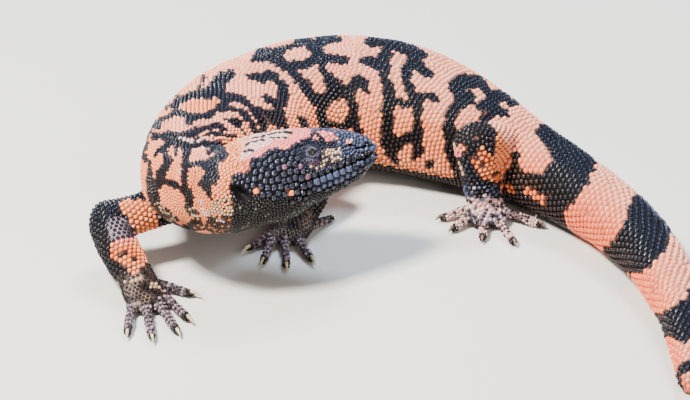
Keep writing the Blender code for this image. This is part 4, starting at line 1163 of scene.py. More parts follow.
@dataclass
class Markings:
    """The animal's colours at any place of its skin."""

    atlas: Atlas
    body: Body
    head: Head
    view: Viewpoint

    def paint(self, places: Places, seed: int) -> Paint:
        """The colours at places, with a seeded difference from bead to bead."""
        draw = np.random.default_rng(seed)
        chance = draw.random(len(places.points))
        jitter = draw.normal(0, 1, len(places.points))
        bead = np.zeros((len(places.points), 3))
        skin = np.zeros((len(places.points), 3))
        kinds = self.atlas.kinds(places)
        limbs = np.array([loft.limb for loft in self.atlas.lofts])[places.owner]
        chosen = kinds == Kind.BODY
        bead[chosen], skin[chosen] = self._body(places, chosen, jitter[chosen], chance[chosen])
        chosen = kinds == Kind.HEAD
        bead[chosen], skin[chosen] = self._head(places.points[chosen], chance[chosen])
        for number, marks in enumerate(LIMB_MARKS):
            chosen = limbs == number
            bead[chosen], skin[chosen] = self._limb(places, chosen, marks, chance[chosen], kinds[chosen], number)
        bead *= np.exp(jitter * 0.09)[:, None]
        return Paint(np.clip(bead, 0, 1), np.clip(skin, 0, 1))

    def _body(
        self, places: Places, chosen: Array, jitter: Array, chance: Array
    ) -> tuple[Array, Array]:
        """Black strokes and bands on pink. What the near side doesn't show mirrors it over the back."""
        along, turn, points = places.along[chosen], places.turn[chosen], places.points[chosen]
        fold = np.interp(along, *np.array(FOLD, float).T)
        hidden = ramp(fold - turn, 0, 60)
        shifted = along + hidden * 7 * waves(points, 60, 3)
        chart = np.where(turn < fold, 2 * fold - turn, turn) + hidden * 9 * waves(points, 45, 4)
        pixels = self.view.pixels(np.where((turn < fold)[:, None], self._on_ring(shifted, chart), points))
        depth, covered = self._near_black(pixels)
        scale = math.radians(1) * np.mean(self.body.radius(np.linspace(40, 200, 9)))
        drawn = np.full(len(along), -99.0)
        for stroke in HIDDEN_STROKES:
            drawn = np.maximum(drawn, stroke.depth(shifted, chart, scale))
        depth = np.where(covered, drawn, depth)
        for band in TAIL_BANDS:
            depth = np.maximum(depth, band.depth(along, turn))
        seen = (turn > fold) & (turn < 0)
        under = ramp(np.abs(turn), 108, 128) * (along < 232) * ~seen
        depth = np.where(under > 0.5, waves(points, 26, 8) * 3 + 1.5, depth)
        uneven = depth + np.interp(along, (50, 80), (0.4, 0.62)) + 0.3 * waves(points, 9, 5) + 0.2 * jitter
        bead, skin = self._two_toned(points, along, turn, uneven, under)
        plain = covered | (under > 0.5)
        self._marked(BODY_MARKS, pixels, np.where(plain, 2.0, chance), bead, skin)
        return bead, skin

    def _near_black(self, pixels: Array) -> tuple[Array, Array]:
        """How far inside the black each pixel lies, in millimetres, and whether head or thigh stands before it."""
        depth = np.full(len(pixels), -99.0)
        for stroke in NEAR_STROKES:
            depth = np.maximum(depth, stroke.depth(pixels[:, 0], pixels[:, 1], 1.0) / PIXELS_PER_MM)
        for area in NEAR_BLACK_AREAS:
            depth = np.where(area.inside(pixels), np.maximum(depth, 1.5), depth)
        covered = np.zeros(len(pixels), bool)
        for area in HIDDEN_AREAS:
            covered |= area.inside(pixels)
        return depth, covered

    def _on_ring(self, along: Array, turn: Array) -> Array:
        """Points of the body's form at distances along it and angles round it."""
        loft = self.atlas.lofts[0]
        count, sides = loft.rings.shape[:2]
        place = np.interp(along, loft.along, np.arange(count))
        low = np.clip(place.astype(int), 0, count - 2)
        step = np.mod(turn, 360) / 360 * sides
        first = step.astype(int) % sides
        second = (first + 1) % sides
        part, share = (step - np.floor(step))[:, None], (place - low)[:, None]
        near = loft.rings[low, first] * (1 - part) + loft.rings[low, second] * part
        far = loft.rings[low + 1, first] * (1 - part) + loft.rings[low + 1, second] * part
        return near * (1 - share) + far * share

    @staticmethod
    def _two_toned(points: Array, along: Array, turn: Array, depth: Array, under: Array) -> tuple[Array, Array]:
        """Black where depth is above nought and pink elsewhere, each paler or warmer by its place, the black bluer
        on the back as painted sky reflection.
        """
        black = depth > 0.0
        back = 1 - ramp(np.abs(turn + 10), 30, 75)
        low = ramp(np.abs(turn), 70, 110)
        # The black turns bluer on the back: painted sky reflection.
        dark = blend(blend(Tone.BLACK.linear(), Tone.BLACK_BACK.linear(), back), Tone.BLACK_LOW.linear(), low)
        pink = blend(Tone.PINK_BACK.linear(), Tone.PINK_FLANK.linear(), ramp(np.abs(turn), 10, 80))
        pink_tail = blend(Tone.PINK_BACK.linear(), Tone.PINK_TAIL.linear(), ramp(turn, -20, 80))
        pink = blend(pink, pink_tail, ramp(along, 215, 250))
        warm = 0.35 * ramp(waves(points, 18, 6), 0.3, 1.2) * ramp(np.abs(turn), 15, 60)
        pink = blend(blend(pink, Tone.ORANGE.linear(), warm), Tone.BELLY.linear(), 0.7 * under)
        bead = np.where(black[:, None], dark, pink)
        # The pink skin between the beads is darkened: painted shade in the gaps.
        below = blend(pink, Tone.SKIN_PINK.linear(), 0.5) * 0.72
        return bead, np.where(black[:, None], Tone.SKIN_BLACK.linear(), below)

    def _marked(self, marks: tuple, pixels: Array, chance: Array, bead: Array, skin: Array) -> None:
        """Lays marks over the colours, each over those before it."""
        for mark in marks:
            if isinstance(mark.shape, Patch):
                inside = mark.shape.inside(pixels)
            else:
                inside = mark.shape.depth(pixels[:, 0], pixels[:, 1], 1.0) > 0
            inside &= chance <= 1.0
            chance = np.where(inside, np.mod(chance * 7.31 + 0.19, 1.0), chance)
            taken = inside & (chance < mark.share)
            bead[taken] = mark.tone.linear()
            # The skin between the beads is darkened: painted shade in the gaps.
            if mark.skin:
                skin[inside] = mark.skin.linear() * 0.7
            else:
                skin[taken] = mark.tone.linear() * 0.28

    def _head(self, points: Array, chance: Array) -> tuple[Array, Array]:
        """Slate scales with pink, pale and cream marks, the hidden cheek like the one that shows."""
        local = self.head.to_local(points)
        pixels = self.head.pixels(points, self.view)
        bead = np.tile(Tone.SLATE.linear(), (len(points), 1))
        skin = np.tile(Tone.SKIN_BLACK.linear(), (len(points), 1))
        self._marked(HEAD_MARKS, pixels, chance, bead, skin)
        edge = np.interp(pixels[:, 1], *np.array(NAPE_EDGE, float).T)
        nape = (pixels[:, 0] < edge) & (local[:, 0] < 12)
        depth, _ = self._near_black(pixels)
        turn = np.degrees(np.arctan2(local[:, 1], local[:, 2]))
        plain, below = self._two_toned(points, np.zeros(len(points)), turn, depth + 0.45, np.zeros(len(points)))
        self._marked(BODY_MARKS, pixels, chance, plain, below)
        return np.where(nape[:, None], plain, bead), np.where(nape[:, None], below, skin)

    def _limb(
        self, places: Places, chosen: Array, marks: tuple, chance: Array, kinds: Array, number: int
    ) -> tuple[Array, Array]:
        """Black limbs with patches, cream between the beads of the hands, and banded toes."""
        points = places.points[chosen]
        count = len(points)
        # The black turns bluer higher up the limb: painted sky reflection.
        bead = blend(
            np.tile(Tone.BLACK.linear(), (count, 1)), np.tile(Tone.BLACK_BACK.linear(), (count, 1)),
            ramp(points[:, 2], 14, 30),
        )
        skin = np.tile(Tone.SKIN_BLACK.linear(), (count, 1))
        self._marked(marks, self.view.pixels(points), chance, bead, skin)
        front = number < 2
        hand = kinds == Kind.PALM
        if front:
            uneven = ramp(waves(points, 9, 31), -0.6, 0.6)
            skin[hand] = blend(Tone.SKIN_BLACK.linear(), Tone.HAND_NET.linear(), uneven)[hand]
        toe = kinds == Kind.TOE
        ends = np.array([loft.along[-1] for loft in self.atlas.lofts])[places.owner[chosen]]
        reach = places.along[chosen]
        tip = ends - reach < 3.4
        if front:
            light = Tone.LAVENDER.linear() * 0.75
            band = np.mod(reach, 2.9) < 1.25
        else:
            light = Tone.PALE.linear()
            band = (ends - reach < 7.0) | (chance < 0.4)
        pale = toe & band & ~tip & (waves(points, 11, 12) > -0.9)
        bead[pale] = light
        # The toes' skin between beads is their pale colour darkened as painted shade, black at the tips.
        skin[toe] = np.where(tip[toe][:, None], Tone.SKIN_BLACK.linear(), light * 0.35)
        return bead, skin


@dataclass
class Eye:
    """An eyeball in its socket.

    Attributes:
        centre: Its middle.
        axes: The directions out of the head, forward and up, seen from the ball.
        radius: Its size.
        lid_radius: How far from the middle the lids lie.
        opening: Half the angle that the lids leave open, along the head and up and down.
        hollow: How far from the middle the skin lies behind the ball.
    """

    centre: Array
    axes: Array
    radius: float
    lid_radius: float = 2.55
    opening: tuple = (math.radians(44), math.radians(35))
    hollow: float = 1.3

    @staticmethod
    def of(node: str, head: Head) -> "Eye":
        """The eye that stands where a solid eyeball lies."""
        low, high = (np.array(corner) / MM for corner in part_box(node))
        centre = (low + high) / 2
        side = 1.0 if head.to_local(centre[None])[0, 1] > 0 else -1.0
        out = unit(head.axes @ np.array([0.12, side, 0.1]))
        up = unit(np.cross(out, head.axes[:, 0]) * side * -1.0)
        up = up if up @ head.axes[:, 2] > 0 else -up
        return Eye(centre, np.array([out, unit(np.cross(up, out)) * 1.0, up]), float((high - low).min() / 2))

    def angles(self, points: Array) -> tuple[Array, Array, Array]:
        """For each point how far out it lies, and its angles from the way out, along the head and upwards."""
        out, forward, up = ((points - self.centre) @ axis for axis in self.axes)
        return out, np.arctan2(forward, np.maximum(out, 0.01)), np.arctan2(up, np.maximum(out, 0.01))

    def point(self, along: float, above: float) -> Array:
        """The point of the lids' shell at two angles from the way out."""
        way = self.axes[0] + math.tan(along) * self.axes[1] + math.tan(above) * self.axes[2]
        return self.centre + unit(way) * self.lid_radius

    def build(self) -> bpy.types.Object:
        """Makes the smooth eyeball."""
        bpy.ops.object.select_all(action="DESELECT")
        bpy.ops.mesh.primitive_uv_sphere_add(segments=40, ring_count=24, radius=self.radius * MM)
        ball = bpy.context.object
        ball.data.transform(Matrix.Translation(Vector(self.centre * MM)))
        ball.data.shade_smooth()
        return ball


@dataclass
class Skin:
    """The one skin over head, body, legs and toes.

    Attributes:
        voxel: The size of its faces before the head's are made smaller.
    """

    lofts: list
    head: Head
    body: Body
    eyes: list
    view: Viewpoint
    voxel: float = 1.12

    def build(self) -> bpy.types.Object:
        """Fuses the forms, smooths them, and presses the finer shapes into the surface."""
        skin = Loft.joined(self.lofts, "skin")
        remesh = skin.modifiers.new("fuse", "REMESH")
        remesh.mode = "VOXEL"
        remesh.voxel_size = self.voxel * MM
        remesh.use_smooth_shade = True
        bpy.ops.object.modifier_apply(modifier=remesh.name)
        smooth = skin.modifiers.new("soften", "SMOOTH")
        smooth.factor = 0.5
        smooth.iterations = 4
        bpy.ops.object.modifier_apply(modifier=smooth.name)
        self._refine(skin, 9.0, 17.0)
        self._refine(skin, 4.6, 99.0)
        self._press(skin)
        return skin

    def _marks(self, local: Array) -> Array:
        """The distance of each point of the head's frame from the nearest eye or nostril."""
        gaps = [
            np.hypot(local[:, 0] - x, local[:, 2] - z) + np.where(np.abs(local[:, 1]) < 4, 99, 0)
            for x, z in (self.head.eye, self.head.nostril)
        ]
        return np.minimum(*gaps)

    def _refine(self, skin: bpy.types.Object, reach: float, mouth_from: float) -> None:
        """Splits the faces near the eyes and nostrils, and those along the mouth ahead of a place."""
        mesh = skin.data
        centres = np.empty(len(mesh.polygons) * 3)
        mesh.polygons.foreach_get("center", centres)
        local = self.head.to_local(centres.reshape(-1, 3) / MM)
        on_head = self.head.boxed(local, 12, 27, 20)
        mouth = (np.abs(local[:, 2] - self.head.lip(local[:, 0])) < 4.5) & (local[:, 0] > mouth_from)
        chosen = on_head & ((self._marks(local) < reach) | mouth)
        bpy.ops.object.select_all(action="DESELECT")
        skin.select_set(True)
        bpy.context.view_layer.objects.active = skin
        bpy.ops.object.mode_set(mode="EDIT")
        bpy.ops.mesh.select_all(action="DESELECT")
        bpy.ops.object.mode_set(mode="OBJECT")
        mesh.polygons.foreach_set("select", chosen)
        bpy.ops.object.mode_set(mode="EDIT")
        bpy.ops.mesh.select_mode(type="FACE")
        bpy.ops.mesh.subdivide(number_cuts=1, smoothness=0.5)
        bpy.ops.object.mode_set(mode="OBJECT")

    def _press(self, skin: bpy.types.Object) -> None:
        """Moves the skin's points in and out: mouth, lids, nostrils, ears and the folds of the neck."""
        mesh = skin.data
        count = len(mesh.vertices)
        points, normals = np.empty(count * 3), np.empty(count * 3)
        mesh.vertices.foreach_get("co", points)
        mesh.vertices.foreach_get("normal", normals)
        points, normals = points.reshape(-1, 3) / MM, normals.reshape(-1, 3)
        local = self.head.to_local(points)
        shift = self._face(local) + self._folds(points) + self._creases(points, local)
        points = self._lidded(points + normals * shift[:, None])
        points[:, 2] = np.maximum(points[:, 2], 0.25)
        mesh.vertices.foreach_set("co", (points * MM).reshape(-1))
        mesh.update()

    def _lidded(self, points: Array) -> Array:
        """Wraps lids round the eyeballs: a shell outside the opening, and inside it a hollow behind the ball."""
        for eye in self.eyes:
            aside, u, v = eye.angles(points)
            gap = np.linalg.norm(points - eye.centre, axis=1)
            near = (gap < 7) & (aside > -0.5)
            opening = np.hypot(u / eye.opening[0], v / eye.opening[1])
            rim = 0.16 * np.exp(-(((opening - 1.12) / 0.16) ** 2))
            shell = np.maximum(gap, eye.lid_radius + rim)
            wanted = eye.hollow + (shell - eye.hollow) * ramp(opening, 0.88, 1.04)
            moved = eye.centre + (points - eye.centre) * (wanted / np.maximum(gap, 0.05))[:, None]
            points = np.where(near[:, None], moved, points)
        return points

    def _face(self, local: Array) -> Array:
        """How far the head's shapes move each point outwards."""
        x, y, z = local.T
        on_head = (x > -4) & (x < 62) & (np.abs(y) < 30) & (np.abs(z) < 22)
        rise = z - self.head.lip(x)
        along = ramp(x, 21, 27)
        shift = along * (-1.1 * np.exp(-((rise / 0.42) ** 2)) + 0.45 * np.exp(-(((np.abs(rise) - 2.0) / 1.2) ** 2)))
        side = np.abs(y) > 5
        eye = np.hypot((x - self.head.eye[0]) / 1.08, (z - self.head.eye[1]) / 0.94)
        lid = -0.5 * np.exp(-(((eye - 4.5) / 0.6) ** 2)) + 0.4 * np.exp(-(((eye - 6.2) / 1.3) ** 2)) * (z > 6)
        shift = np.where(side & (eye < 9), shift + lid, shift)
        nostril = np.hypot(x - self.head.nostril[0], z - self.head.nostril[1])
        pit = -1.6 * (1 - ramp(nostril, 0.35, 1.15)) + 0.3 * np.exp(-(((nostril - 1.6) / 0.5) ** 2))
        shift = np.where(side & (nostril < 3), shift + pit, shift)
        ear = self.head.ear_gap(x, z)
        cup = -2.6 * (1 - ramp(ear, 0.3, 1.15)) + 0.5 * np.exp(-(((ear - 1.4) / 0.25) ** 2))
        shift = np.where((np.abs(y) > 12) & (ear < 2.5), shift + cup, shift)
        return np.where(on_head, shift, 0.0)

    def _creases(self, points: Array, local: Array) -> Array:
        """How far the creases of brow and snout press each point in."""
        pixels = self.head.pixels(points, self.view)
        shift = np.zeros(len(points))
        for crease in FACE_CREASES:
            gap = -crease.line.depth(pixels[:, 0], pixels[:, 1], 1.0)
            shift -= crease.deep * np.exp(-((gap / crease.wide) ** 2))
        on_head = (local[:, 0] > 12) & (local[:, 0] < 62) & (np.abs(local[:, 1]) < 27) & (np.abs(local[:, 1]) > 2)
        return shift * on_head * (local[:, 2] > -4)

    def _folds(self, points: Array) -> Array:
        """How far the slack skin of the neck folds in, and the body's slight unevenness."""
        shift = 0.22 * waves(points, 17, 21) + 0.12 * waves(points, 8, 22)
        places = self.neck_places(points)
        along, turn = places
        for start, end, width, depth in (
            ((12, 60), (8, -10), 2.2, 1.3), ((20, 66), (17, 0), 2.0, 1.2), ((29, 70), (27, 4), 2.2, 1.1),
            ((40, 78), (38, 14), 2.4, 0.9), ((52, 80), (50, 26), 2.6, 0.7), ((4, -70), (3, -30), 2.4, 0.7),
        ):
            stroke = Stroke(((start[0], start[1], 0.0), (end[0], end[1], 0.0)))
            gap = -stroke.depth(along, turn, 0.33)
            shift -= depth * np.exp(-((gap / width) ** 2)) * (along < 70)
        return shift * ramp(points[:, 2], 0.3, 4.0)

    def neck_places(self, points: Array) -> tuple[Array, Array]:
        """Distance behind the head and angle round, for points near the neck, and far values elsewhere."""
        along = np.full(len(points), 999.0)
        turn = np.zeros(len(points))
        near = (points[:, 0] < -20) & (points[:, 1] < -20)
        steps = np.linspace(0, 75, 76)
        rows = self.body.curve.at(steps)
        backward = self.body.curve.tangent(steps)
        for i in np.nonzero(near)[0]:
            offset = points[i] - rows[:, :3]
            nearest = int(np.argmin((offset**2).sum(axis=1)))
            left = unit(np.cross([0, 0, 1], -backward[nearest]))
            up = np.cross(-backward[nearest], left)
            if np.linalg.norm(offset[nearest]) < 32:
                along[i] = steps[nearest]
                turn[i] = math.degrees(math.atan2(offset[nearest] @ left, offset[nearest] @ up))
        return along, turn


@dataclass
class Seeds:
    """Where the beads grow.

    Attributes:
        points: Their roots on the skin.
        pitch: How far apart beads of their size lie.
        fixed: Whether a bead was set one by one, as lip plates are, and stays where it is.
        rise: How high it stands, as a share of its pitch.
        flat: 0 for a domed bead and 1 for a flat plate.
    """

    points: Array
    pitch: Array
    fixed: Array
    rise: Array
    flat: Array

    def take(self, chosen: Array) -> "Seeds":
        """Some of the seeds."""
        return Seeds(*(getattr(self, name)[chosen] for name in ("points", "pitch", "fixed", "rise", "flat")))

    @staticmethod
    def joined(groups: list["Seeds"]) -> "Seeds":
        """Several sets as one."""
        return Seeds(*(np.concatenate([getattr(group, name) for group in groups])
                       for name in ("points", "pitch", "fixed", "rise", "flat")))


@dataclass
class BeadForm:
    """One bead, modelled once: rings from its sunken rim up to its top.

    Attributes:
        sides: Corners of its outline.
        profile: For each ring, its share of the outline and of the height.
        plate: The same for a flat plate.
    """

    sides: int = 10
    profile: tuple = ((1.0, -0.42), (0.92, 0.28), (0.6, 0.8))
    plate: tuple = ((1.0, -0.42), (0.97, 0.55), (0.82, 0.93))

    def model(self) -> tuple[Array, list]:
        """Models the bead as by hand, and reads it back.

        Returns:
            Its points, as angle number, share of the outline and height, and its faces.
        """
        bpy.ops.object.select_all(action="DESELECT")
        bpy.ops.mesh.primitive_circle_add(vertices=self.sides, radius=1.0, location=(0, 0, self.profile[0][1]))
        bead = bpy.context.object
        bpy.ops.object.transform_apply(location=True)
        bpy.ops.object.mode_set(mode="EDIT")
        bpy.ops.mesh.select_all(action="SELECT")
        for (share, height), (inner, higher) in zip(self.profile, self.profile[1:]):
            bpy.ops.mesh.extrude_edges_move(TRANSFORM_OT_translate={"value": (0, 0, higher - height)})
            bpy.ops.transform.resize(value=(inner / share, inner / share, 1), center_override=(0, 0, higher))
        bpy.ops.mesh.extrude_edges_move(TRANSFORM_OT_translate={"value": (0, 0, 1 - self.profile[-1][1])})
        bpy.ops.mesh.merge(type="CENTER")
        bpy.ops.mesh.select_all(action="SELECT")
        bpy.ops.mesh.normals_make_consistent(inside=False)
        bpy.ops.object.mode_set(mode="OBJECT")
        mesh = bead.data
        points = np.array([vert.co[:] for vert in mesh.vertices])
        radius = np.hypot(points[:, 0], points[:, 1])
        angle = np.round(np.arctan2(points[:, 1], points[:, 0]) / (2 * math.pi) * self.sides) % self.sides
        faces = [tuple(face.vertices) for face in mesh.polygons]
        bpy.data.objects.remove(bead)
        return np.stack([angle, radius, points[:, 2]], axis=1), faces


@dataclass
class Coat:
    """All the beads, plates and small scales over the skin."""

    skin: bpy.types.Object
    atlas: Atlas
    body: Body
    head: Head
    markings: Markings
    eyes: list
    form: BeadForm = field(default_factory=BeadForm)
    rounds: int = 14
    tree: BVHTree = field(init=False)
    face_normals: Array = field(init=False)

    def __post_init__(self) -> None:
        """Reads the skin's surface."""
        mesh = self.skin.data
        points = np.empty(len(mesh.vertices) * 3)
        mesh.vertices.foreach_get("co", points)
        normals = np.empty(len(mesh.vertices) * 3)
        mesh.vertices.foreach_get("normal", normals)
        self.skin_points = points.reshape(-1, 3) / MM
        vertex_normals = normals.reshape(-1, 3)
        faces = [tuple(face.vertices) for face in mesh.polygons]
        self.tree = BVHTree.FromPolygons(self.skin_points.tolist(), faces)
        self.face_normals = np.array([vertex_normals[list(face)].mean(axis=0) for face in faces])

    def ground(self, points: Array) -> tuple[Array, Array, Array]:
        """The nearest points of the skin, the skin's directions there, and the distances."""
        found = [self.tree.find_nearest(point) for point in points]
        places = np.array([hit[0][:] for hit in found])
        normals = unit(self.face_normals[[hit[2] for hit in found]])
        return places, normals, np.array([hit[3] for hit in found])

    def seeds(self) -> Seeds:
        """All roots: plates set one by one first, then rows over each form, then whatever fills the gaps left."""
        draw = np.random.default_rng(9)
        groups = [self._face_plates()]
        groups.append(self._head_scales(groups[0], draw))
        for loft in self.atlas.lofts:
            if loft.kind is Kind.HEAD:
                continue
            places, pitch = loft.rows(math.radians(45) if loft.kind is Kind.BODY else 0.0)
            count = len(places)
            loose = 0.1 if loft.kind is Kind.BODY else 0.09
            places = places + draw.normal(0, 1, (count, 3)) * loose * pitch[:, None]
            pitch = pitch * draw.uniform(0.94, 1.06, count)
            groups.append(Seeds(places, pitch, np.zeros(count, bool), np.full(count, 0.4), np.zeros(count)))
        seeds = Seeds.joined(groups)
        places, _, gap = self.ground(seeds.points)
        keep = (gap < 1.4) | seeds.fixed
        seeds.points = places
        seeds = self._thinned(seeds.take(keep))
        log.info("rows: %d roots", len(seeds.points))
        seeds = self._filled(seeds)
        log.info("filled: %d roots", len(seeds.points))
        return self._relaxed(seeds)

    def _head_scales(self, plates: Seeds, draw: np.random.Generator) -> Seeds:
        """Scales strewn over the head, as close as their sizes allow: large on temples and snout, fine elsewhere."""
        mesh = self.skin.data
        centres = np.empty(len(mesh.polygons) * 3)
        mesh.polygons.foreach_get("center", centres)
        points = np.concatenate([self.skin_points, centres.reshape(-1, 3) / MM])
        local = self.head.to_local(points)
        points = points[self.head.boxed(local, -9, 30, 23)]
        places = self.atlas.place(points)
        heads = np.array([loft.kind is Kind.HEAD for loft in self.atlas.lofts])[places.owner]
        points = draw.permutation(points[heads])
        points = points[self._clear_of_face(points)]
        pitch, flat, rise = self._head_field(points)
        grid: dict = {}
        cell = 3.0

        def crowded(point: Array, room: float) -> bool:
            """Whether a scale already stands within a distance."""
            base = np.floor(point / cell).astype(int)
            for dx in (-1, 0, 1):
                for dy in (-1, 0, 1):
                    for dz in (-1, 0, 1):
                        for other, size in grid.get((base[0] + dx, base[1] + dy, base[2] + dz), ()):
                            if math.dist(point, other) < 0.42 * (room + size):
                                return True
            return False

        for point, size in zip(plates.points, plates.pitch):
            grid.setdefault(tuple(np.floor(point / cell).astype(int)), []).append((point, size))
        kept = []
        for i, point in enumerate(points):
            if not crowded(point, pitch[i]):
                grid.setdefault(tuple(np.floor(point / cell).astype(int)), []).append((point, pitch[i]))
                kept.append(i)
        return Seeds(points[kept], pitch[kept], np.zeros(len(kept), bool), rise[kept], flat[kept])

    def _head_field(self, points: Array) -> tuple[Array, Array, Array]:
        """The size, flatness and height share of the head's scales at points of it."""
        x, _, z = self.head.to_local(points).T
        pixels = self.head.pixels(points, self.markings.view)
        fine = CROWN_AREA.inside(pixels)
        mottled = CHEEK_AREA.inside(pixels)
        eye = np.min([np.linalg.norm(points - ball.centre, axis=1) for ball in self.eyes], axis=0)
        throat = np.maximum(1 - ramp(z, -15, -11), THROAT_AREA.inside(pixels) * (z < 0))
        snout = ramp(x, 36, 44)
        pitch, flat, rise = 2.6 + 0.35 * snout, 0.68 + 0.27 * snout, 0.3 - 0.14 * snout
        for share, size, level, height in (
            (ramp(-x, -7, 0), 1.5, 0.3, 0.32), (1.0 * fine, 1.5, 0.85, 0.2), (1.0 * mottled, 1.5, 0.7, 0.24),
            (1 - ramp(eye, 4.6, 6.2), 1.35, 0.5, 0.3), (throat, 1.32, 0.2, 0.24),
        ):
            pitch, flat, rise = (value + share * (goal - value) for value, goal in
                                 ((pitch, size), (flat, level), (rise, height)))
        return pitch, flat, rise

    def _face_plates(self) -> Seeds:
        """Lip plates, the small scales of the lids and those round the nostrils."""
        head = self.head
        points, pitch, rise = [], [], []
        for side in (1, -1):
            for x in np.arange(25.5, 56, 2.9):
                for offset in (1.65, -1.6):
                    points.append((x, side, head.lip(x) + offset))
                    pitch.append(2.9 if x < 51 else 2.3)
                    rise.append(0.22)
            for i in range(7):
                angle = 2 * math.pi * i / 7
                x, z = head.nostril[0] + 2.0 * math.cos(angle), head.nostril[1] + 2.0 * math.sin(angle)
                points.append((x, side, z))
                pitch.append(1.7)
                rise.append(0.26)
        rows = np.array(points, float)
        outside = head.to_world(np.stack([rows[:, 0], rows[:, 1] * 40, rows[:, 2]], axis=1))
        inward = -head.axes[:, 1] * rows[:, 1:2]
        hits = [self.tree.ray_cast(Vector(start), Vector(way)) for start, way in zip(outside, inward)]
        found = np.array([hit[0] is not None for hit in hits])
        places = np.array([hit[0][:] for hit in hits if hit[0] is not None])
        count = len(places)
        flat = np.where(np.array(pitch)[found] > 2, 0.85, 0.3)
        plates = Seeds(places, np.array(pitch)[found], np.ones(count, bool), np.array(rise)[found], flat)
        return Seeds.joined([plates] + [self._lid_granules(eye) for eye in self.eyes])

    @staticmethod
    def _lid_granules(eye: Eye) -> Seeds:
        """The small scales that ring an eye's opening."""
        points, pitch = [], []
        for wide, size, count in ((1.22, 0.62, 20), (1.52, 0.78, 21), (1.86, 0.95, 21)):
            for i in range(count):
                angle = 2 * math.pi * (i + 0.5 * (size > 0.7)) / count
                across = wide * eye.opening[0] * math.cos(angle)
                above = wide * eye.opening[1] * math.sin(angle)
                points.append(eye.point(across, above))
                pitch.append(size)
        rows = len(points)
        return Seeds(np.array(points), np.array(pitch), np.ones(rows, bool), np.full(rows, 0.3), np.full(rows, 0.2))

    def _clear_of_face(self, points: Array) -> Array:
        """Whether points keep clear of eyes, nostrils, ears and the mouth line."""
        x, y, z = self.head.to_local(points).T
        side = np.abs(y) > 4
        eye = np.hypot((x - self.head.eye[0]) / 1.1, (z - self.head.eye[1]) / 0.94) > 3.7
        nostril = np.hypot(x - self.head.nostril[0], z - self.head.nostril[1]) > 3.0
        mouth = (np.abs(z - self.head.lip(x)) > 2.7) | (x < 24.5)
        return (eye & nostril | ~side) & mouth & self._clear_of_holes(points)

    def _clear_of_holes(self, points: Array) -> Array:
        """Whether points keep clear of the eyeballs, the nostrils' pits and the ears' cups."""
        x, y, z = self.head.to_local(points).T
        side = (np.abs(y) > 4) & (x > -12) & (x < 62) & (np.abs(z) < 20) & (np.abs(y) < 28)
        eye = np.zeros(len(points), bool)
        for ball in self.eyes:
            out, u, v = ball.angles(points)
            near = (np.linalg.norm(points - ball.centre, axis=1) < 5) & (out > 0)
            eye |= near & (np.hypot(u / ball.opening[0], v / ball.opening[1]) < 1.08)
        nostril = np.hypot(x - self.head.nostril[0], z - self.head.nostril[1]) < 1.2
        ear = self.head.ear_gap(x, z) < 1.05
        mouth = (np.abs(z - self.head.lip(x)) < 0.4) & (x > 26)
        pixels = self.head.pixels(points, self.markings.view)
        crease = (FACE_CREASES[0].line.depth(pixels[:, 0], pixels[:, 1], 1.0) > -1.4) & (z > -4)
        return ~(eye | side & (nostril | mouth | crease | (ear & (np.abs(y) > 12))))

    def _thinned(self, seeds: Seeds) -> Seeds:
        """Drops roots that crowd one that comes before them."""
        tree = search_tree(seeds.points)
        keep = np.ones(len(seeds.points), bool)
        for i, point in enumerate(seeds.points):
            if not keep[i]:
                continue
            for _, other, gap in tree.find_range(point, 0.74 * seeds.pitch[i]):
                if other > i and gap < 0.37 * (seeds.pitch[i] + seeds.pitch[other]):
                    keep[other] = seeds.fixed[i] and seeds.fixed[other]
        return seeds.take(keep)

    def _filled(self, seeds: Seeds) -> Seeds:
        """Adds roots wherever the skin is bare for more than a bead's room."""
        draw = np.random.default_rng(5)
        tree = search_tree(seeds.points)
        nearest = [tree.find(point) for point in self.skin_points]
        index = np.array([hit[1] for hit in nearest])
        gap = np.array([hit[2] for hit in nearest])
        wide = np.nonzero(gap > 0.8 * seeds.pitch[index])[0]
        wide = wide[self._clear_of_holes(self.skin_points[wide])]
        wide = draw.permutation(wide)
        added: list = []
        for i in wide:
            point = self.skin_points[i]
            room = 0.8 * seeds.pitch[index[i]]
            if all(np.sum((point - self.skin_points[j]) ** 2) > room * room for j in added[-600:]):
                added.append(i)
        if not added:
            return seeds
        count = len(added)
        extra = Seeds(self.skin_points[added], seeds.pitch[index[added]], np.zeros(count, bool), np.full(count, 0.4),
                      np.zeros(count))
        return Seeds.joined([seeds, extra])

    def _relaxed(self, seeds: Seeds) -> Seeds:
        """Lets the beads push one another apart along the skin until they lie evenly."""
        points = seeds.points
        free = ~seeds.fixed
        for _ in range(self.rounds):
            tree = search_tree(points)
            near = np.array([[hit[1] for hit in tree.find_n(point, 7)][1:] for point in points])
            offset = points[:, None] - points[near]
            gap = np.maximum(np.linalg.norm(offset, axis=2), 0.05)
            wanted = 0.5 * (seeds.pitch[:, None] + seeds.pitch[near]) * 1.07
            push = np.maximum(0, 1 - gap / wanted) * wanted / gap
            move = 0.32 * (offset * push[:, :, None]).sum(axis=1)
            points = np.where(free[:, None], points + move, points)
            points, _, _ = self.ground(points)
        keep = self._clear_of_holes(points) | seeds.fixed
        seeds.points = points
        return seeds.take(keep)

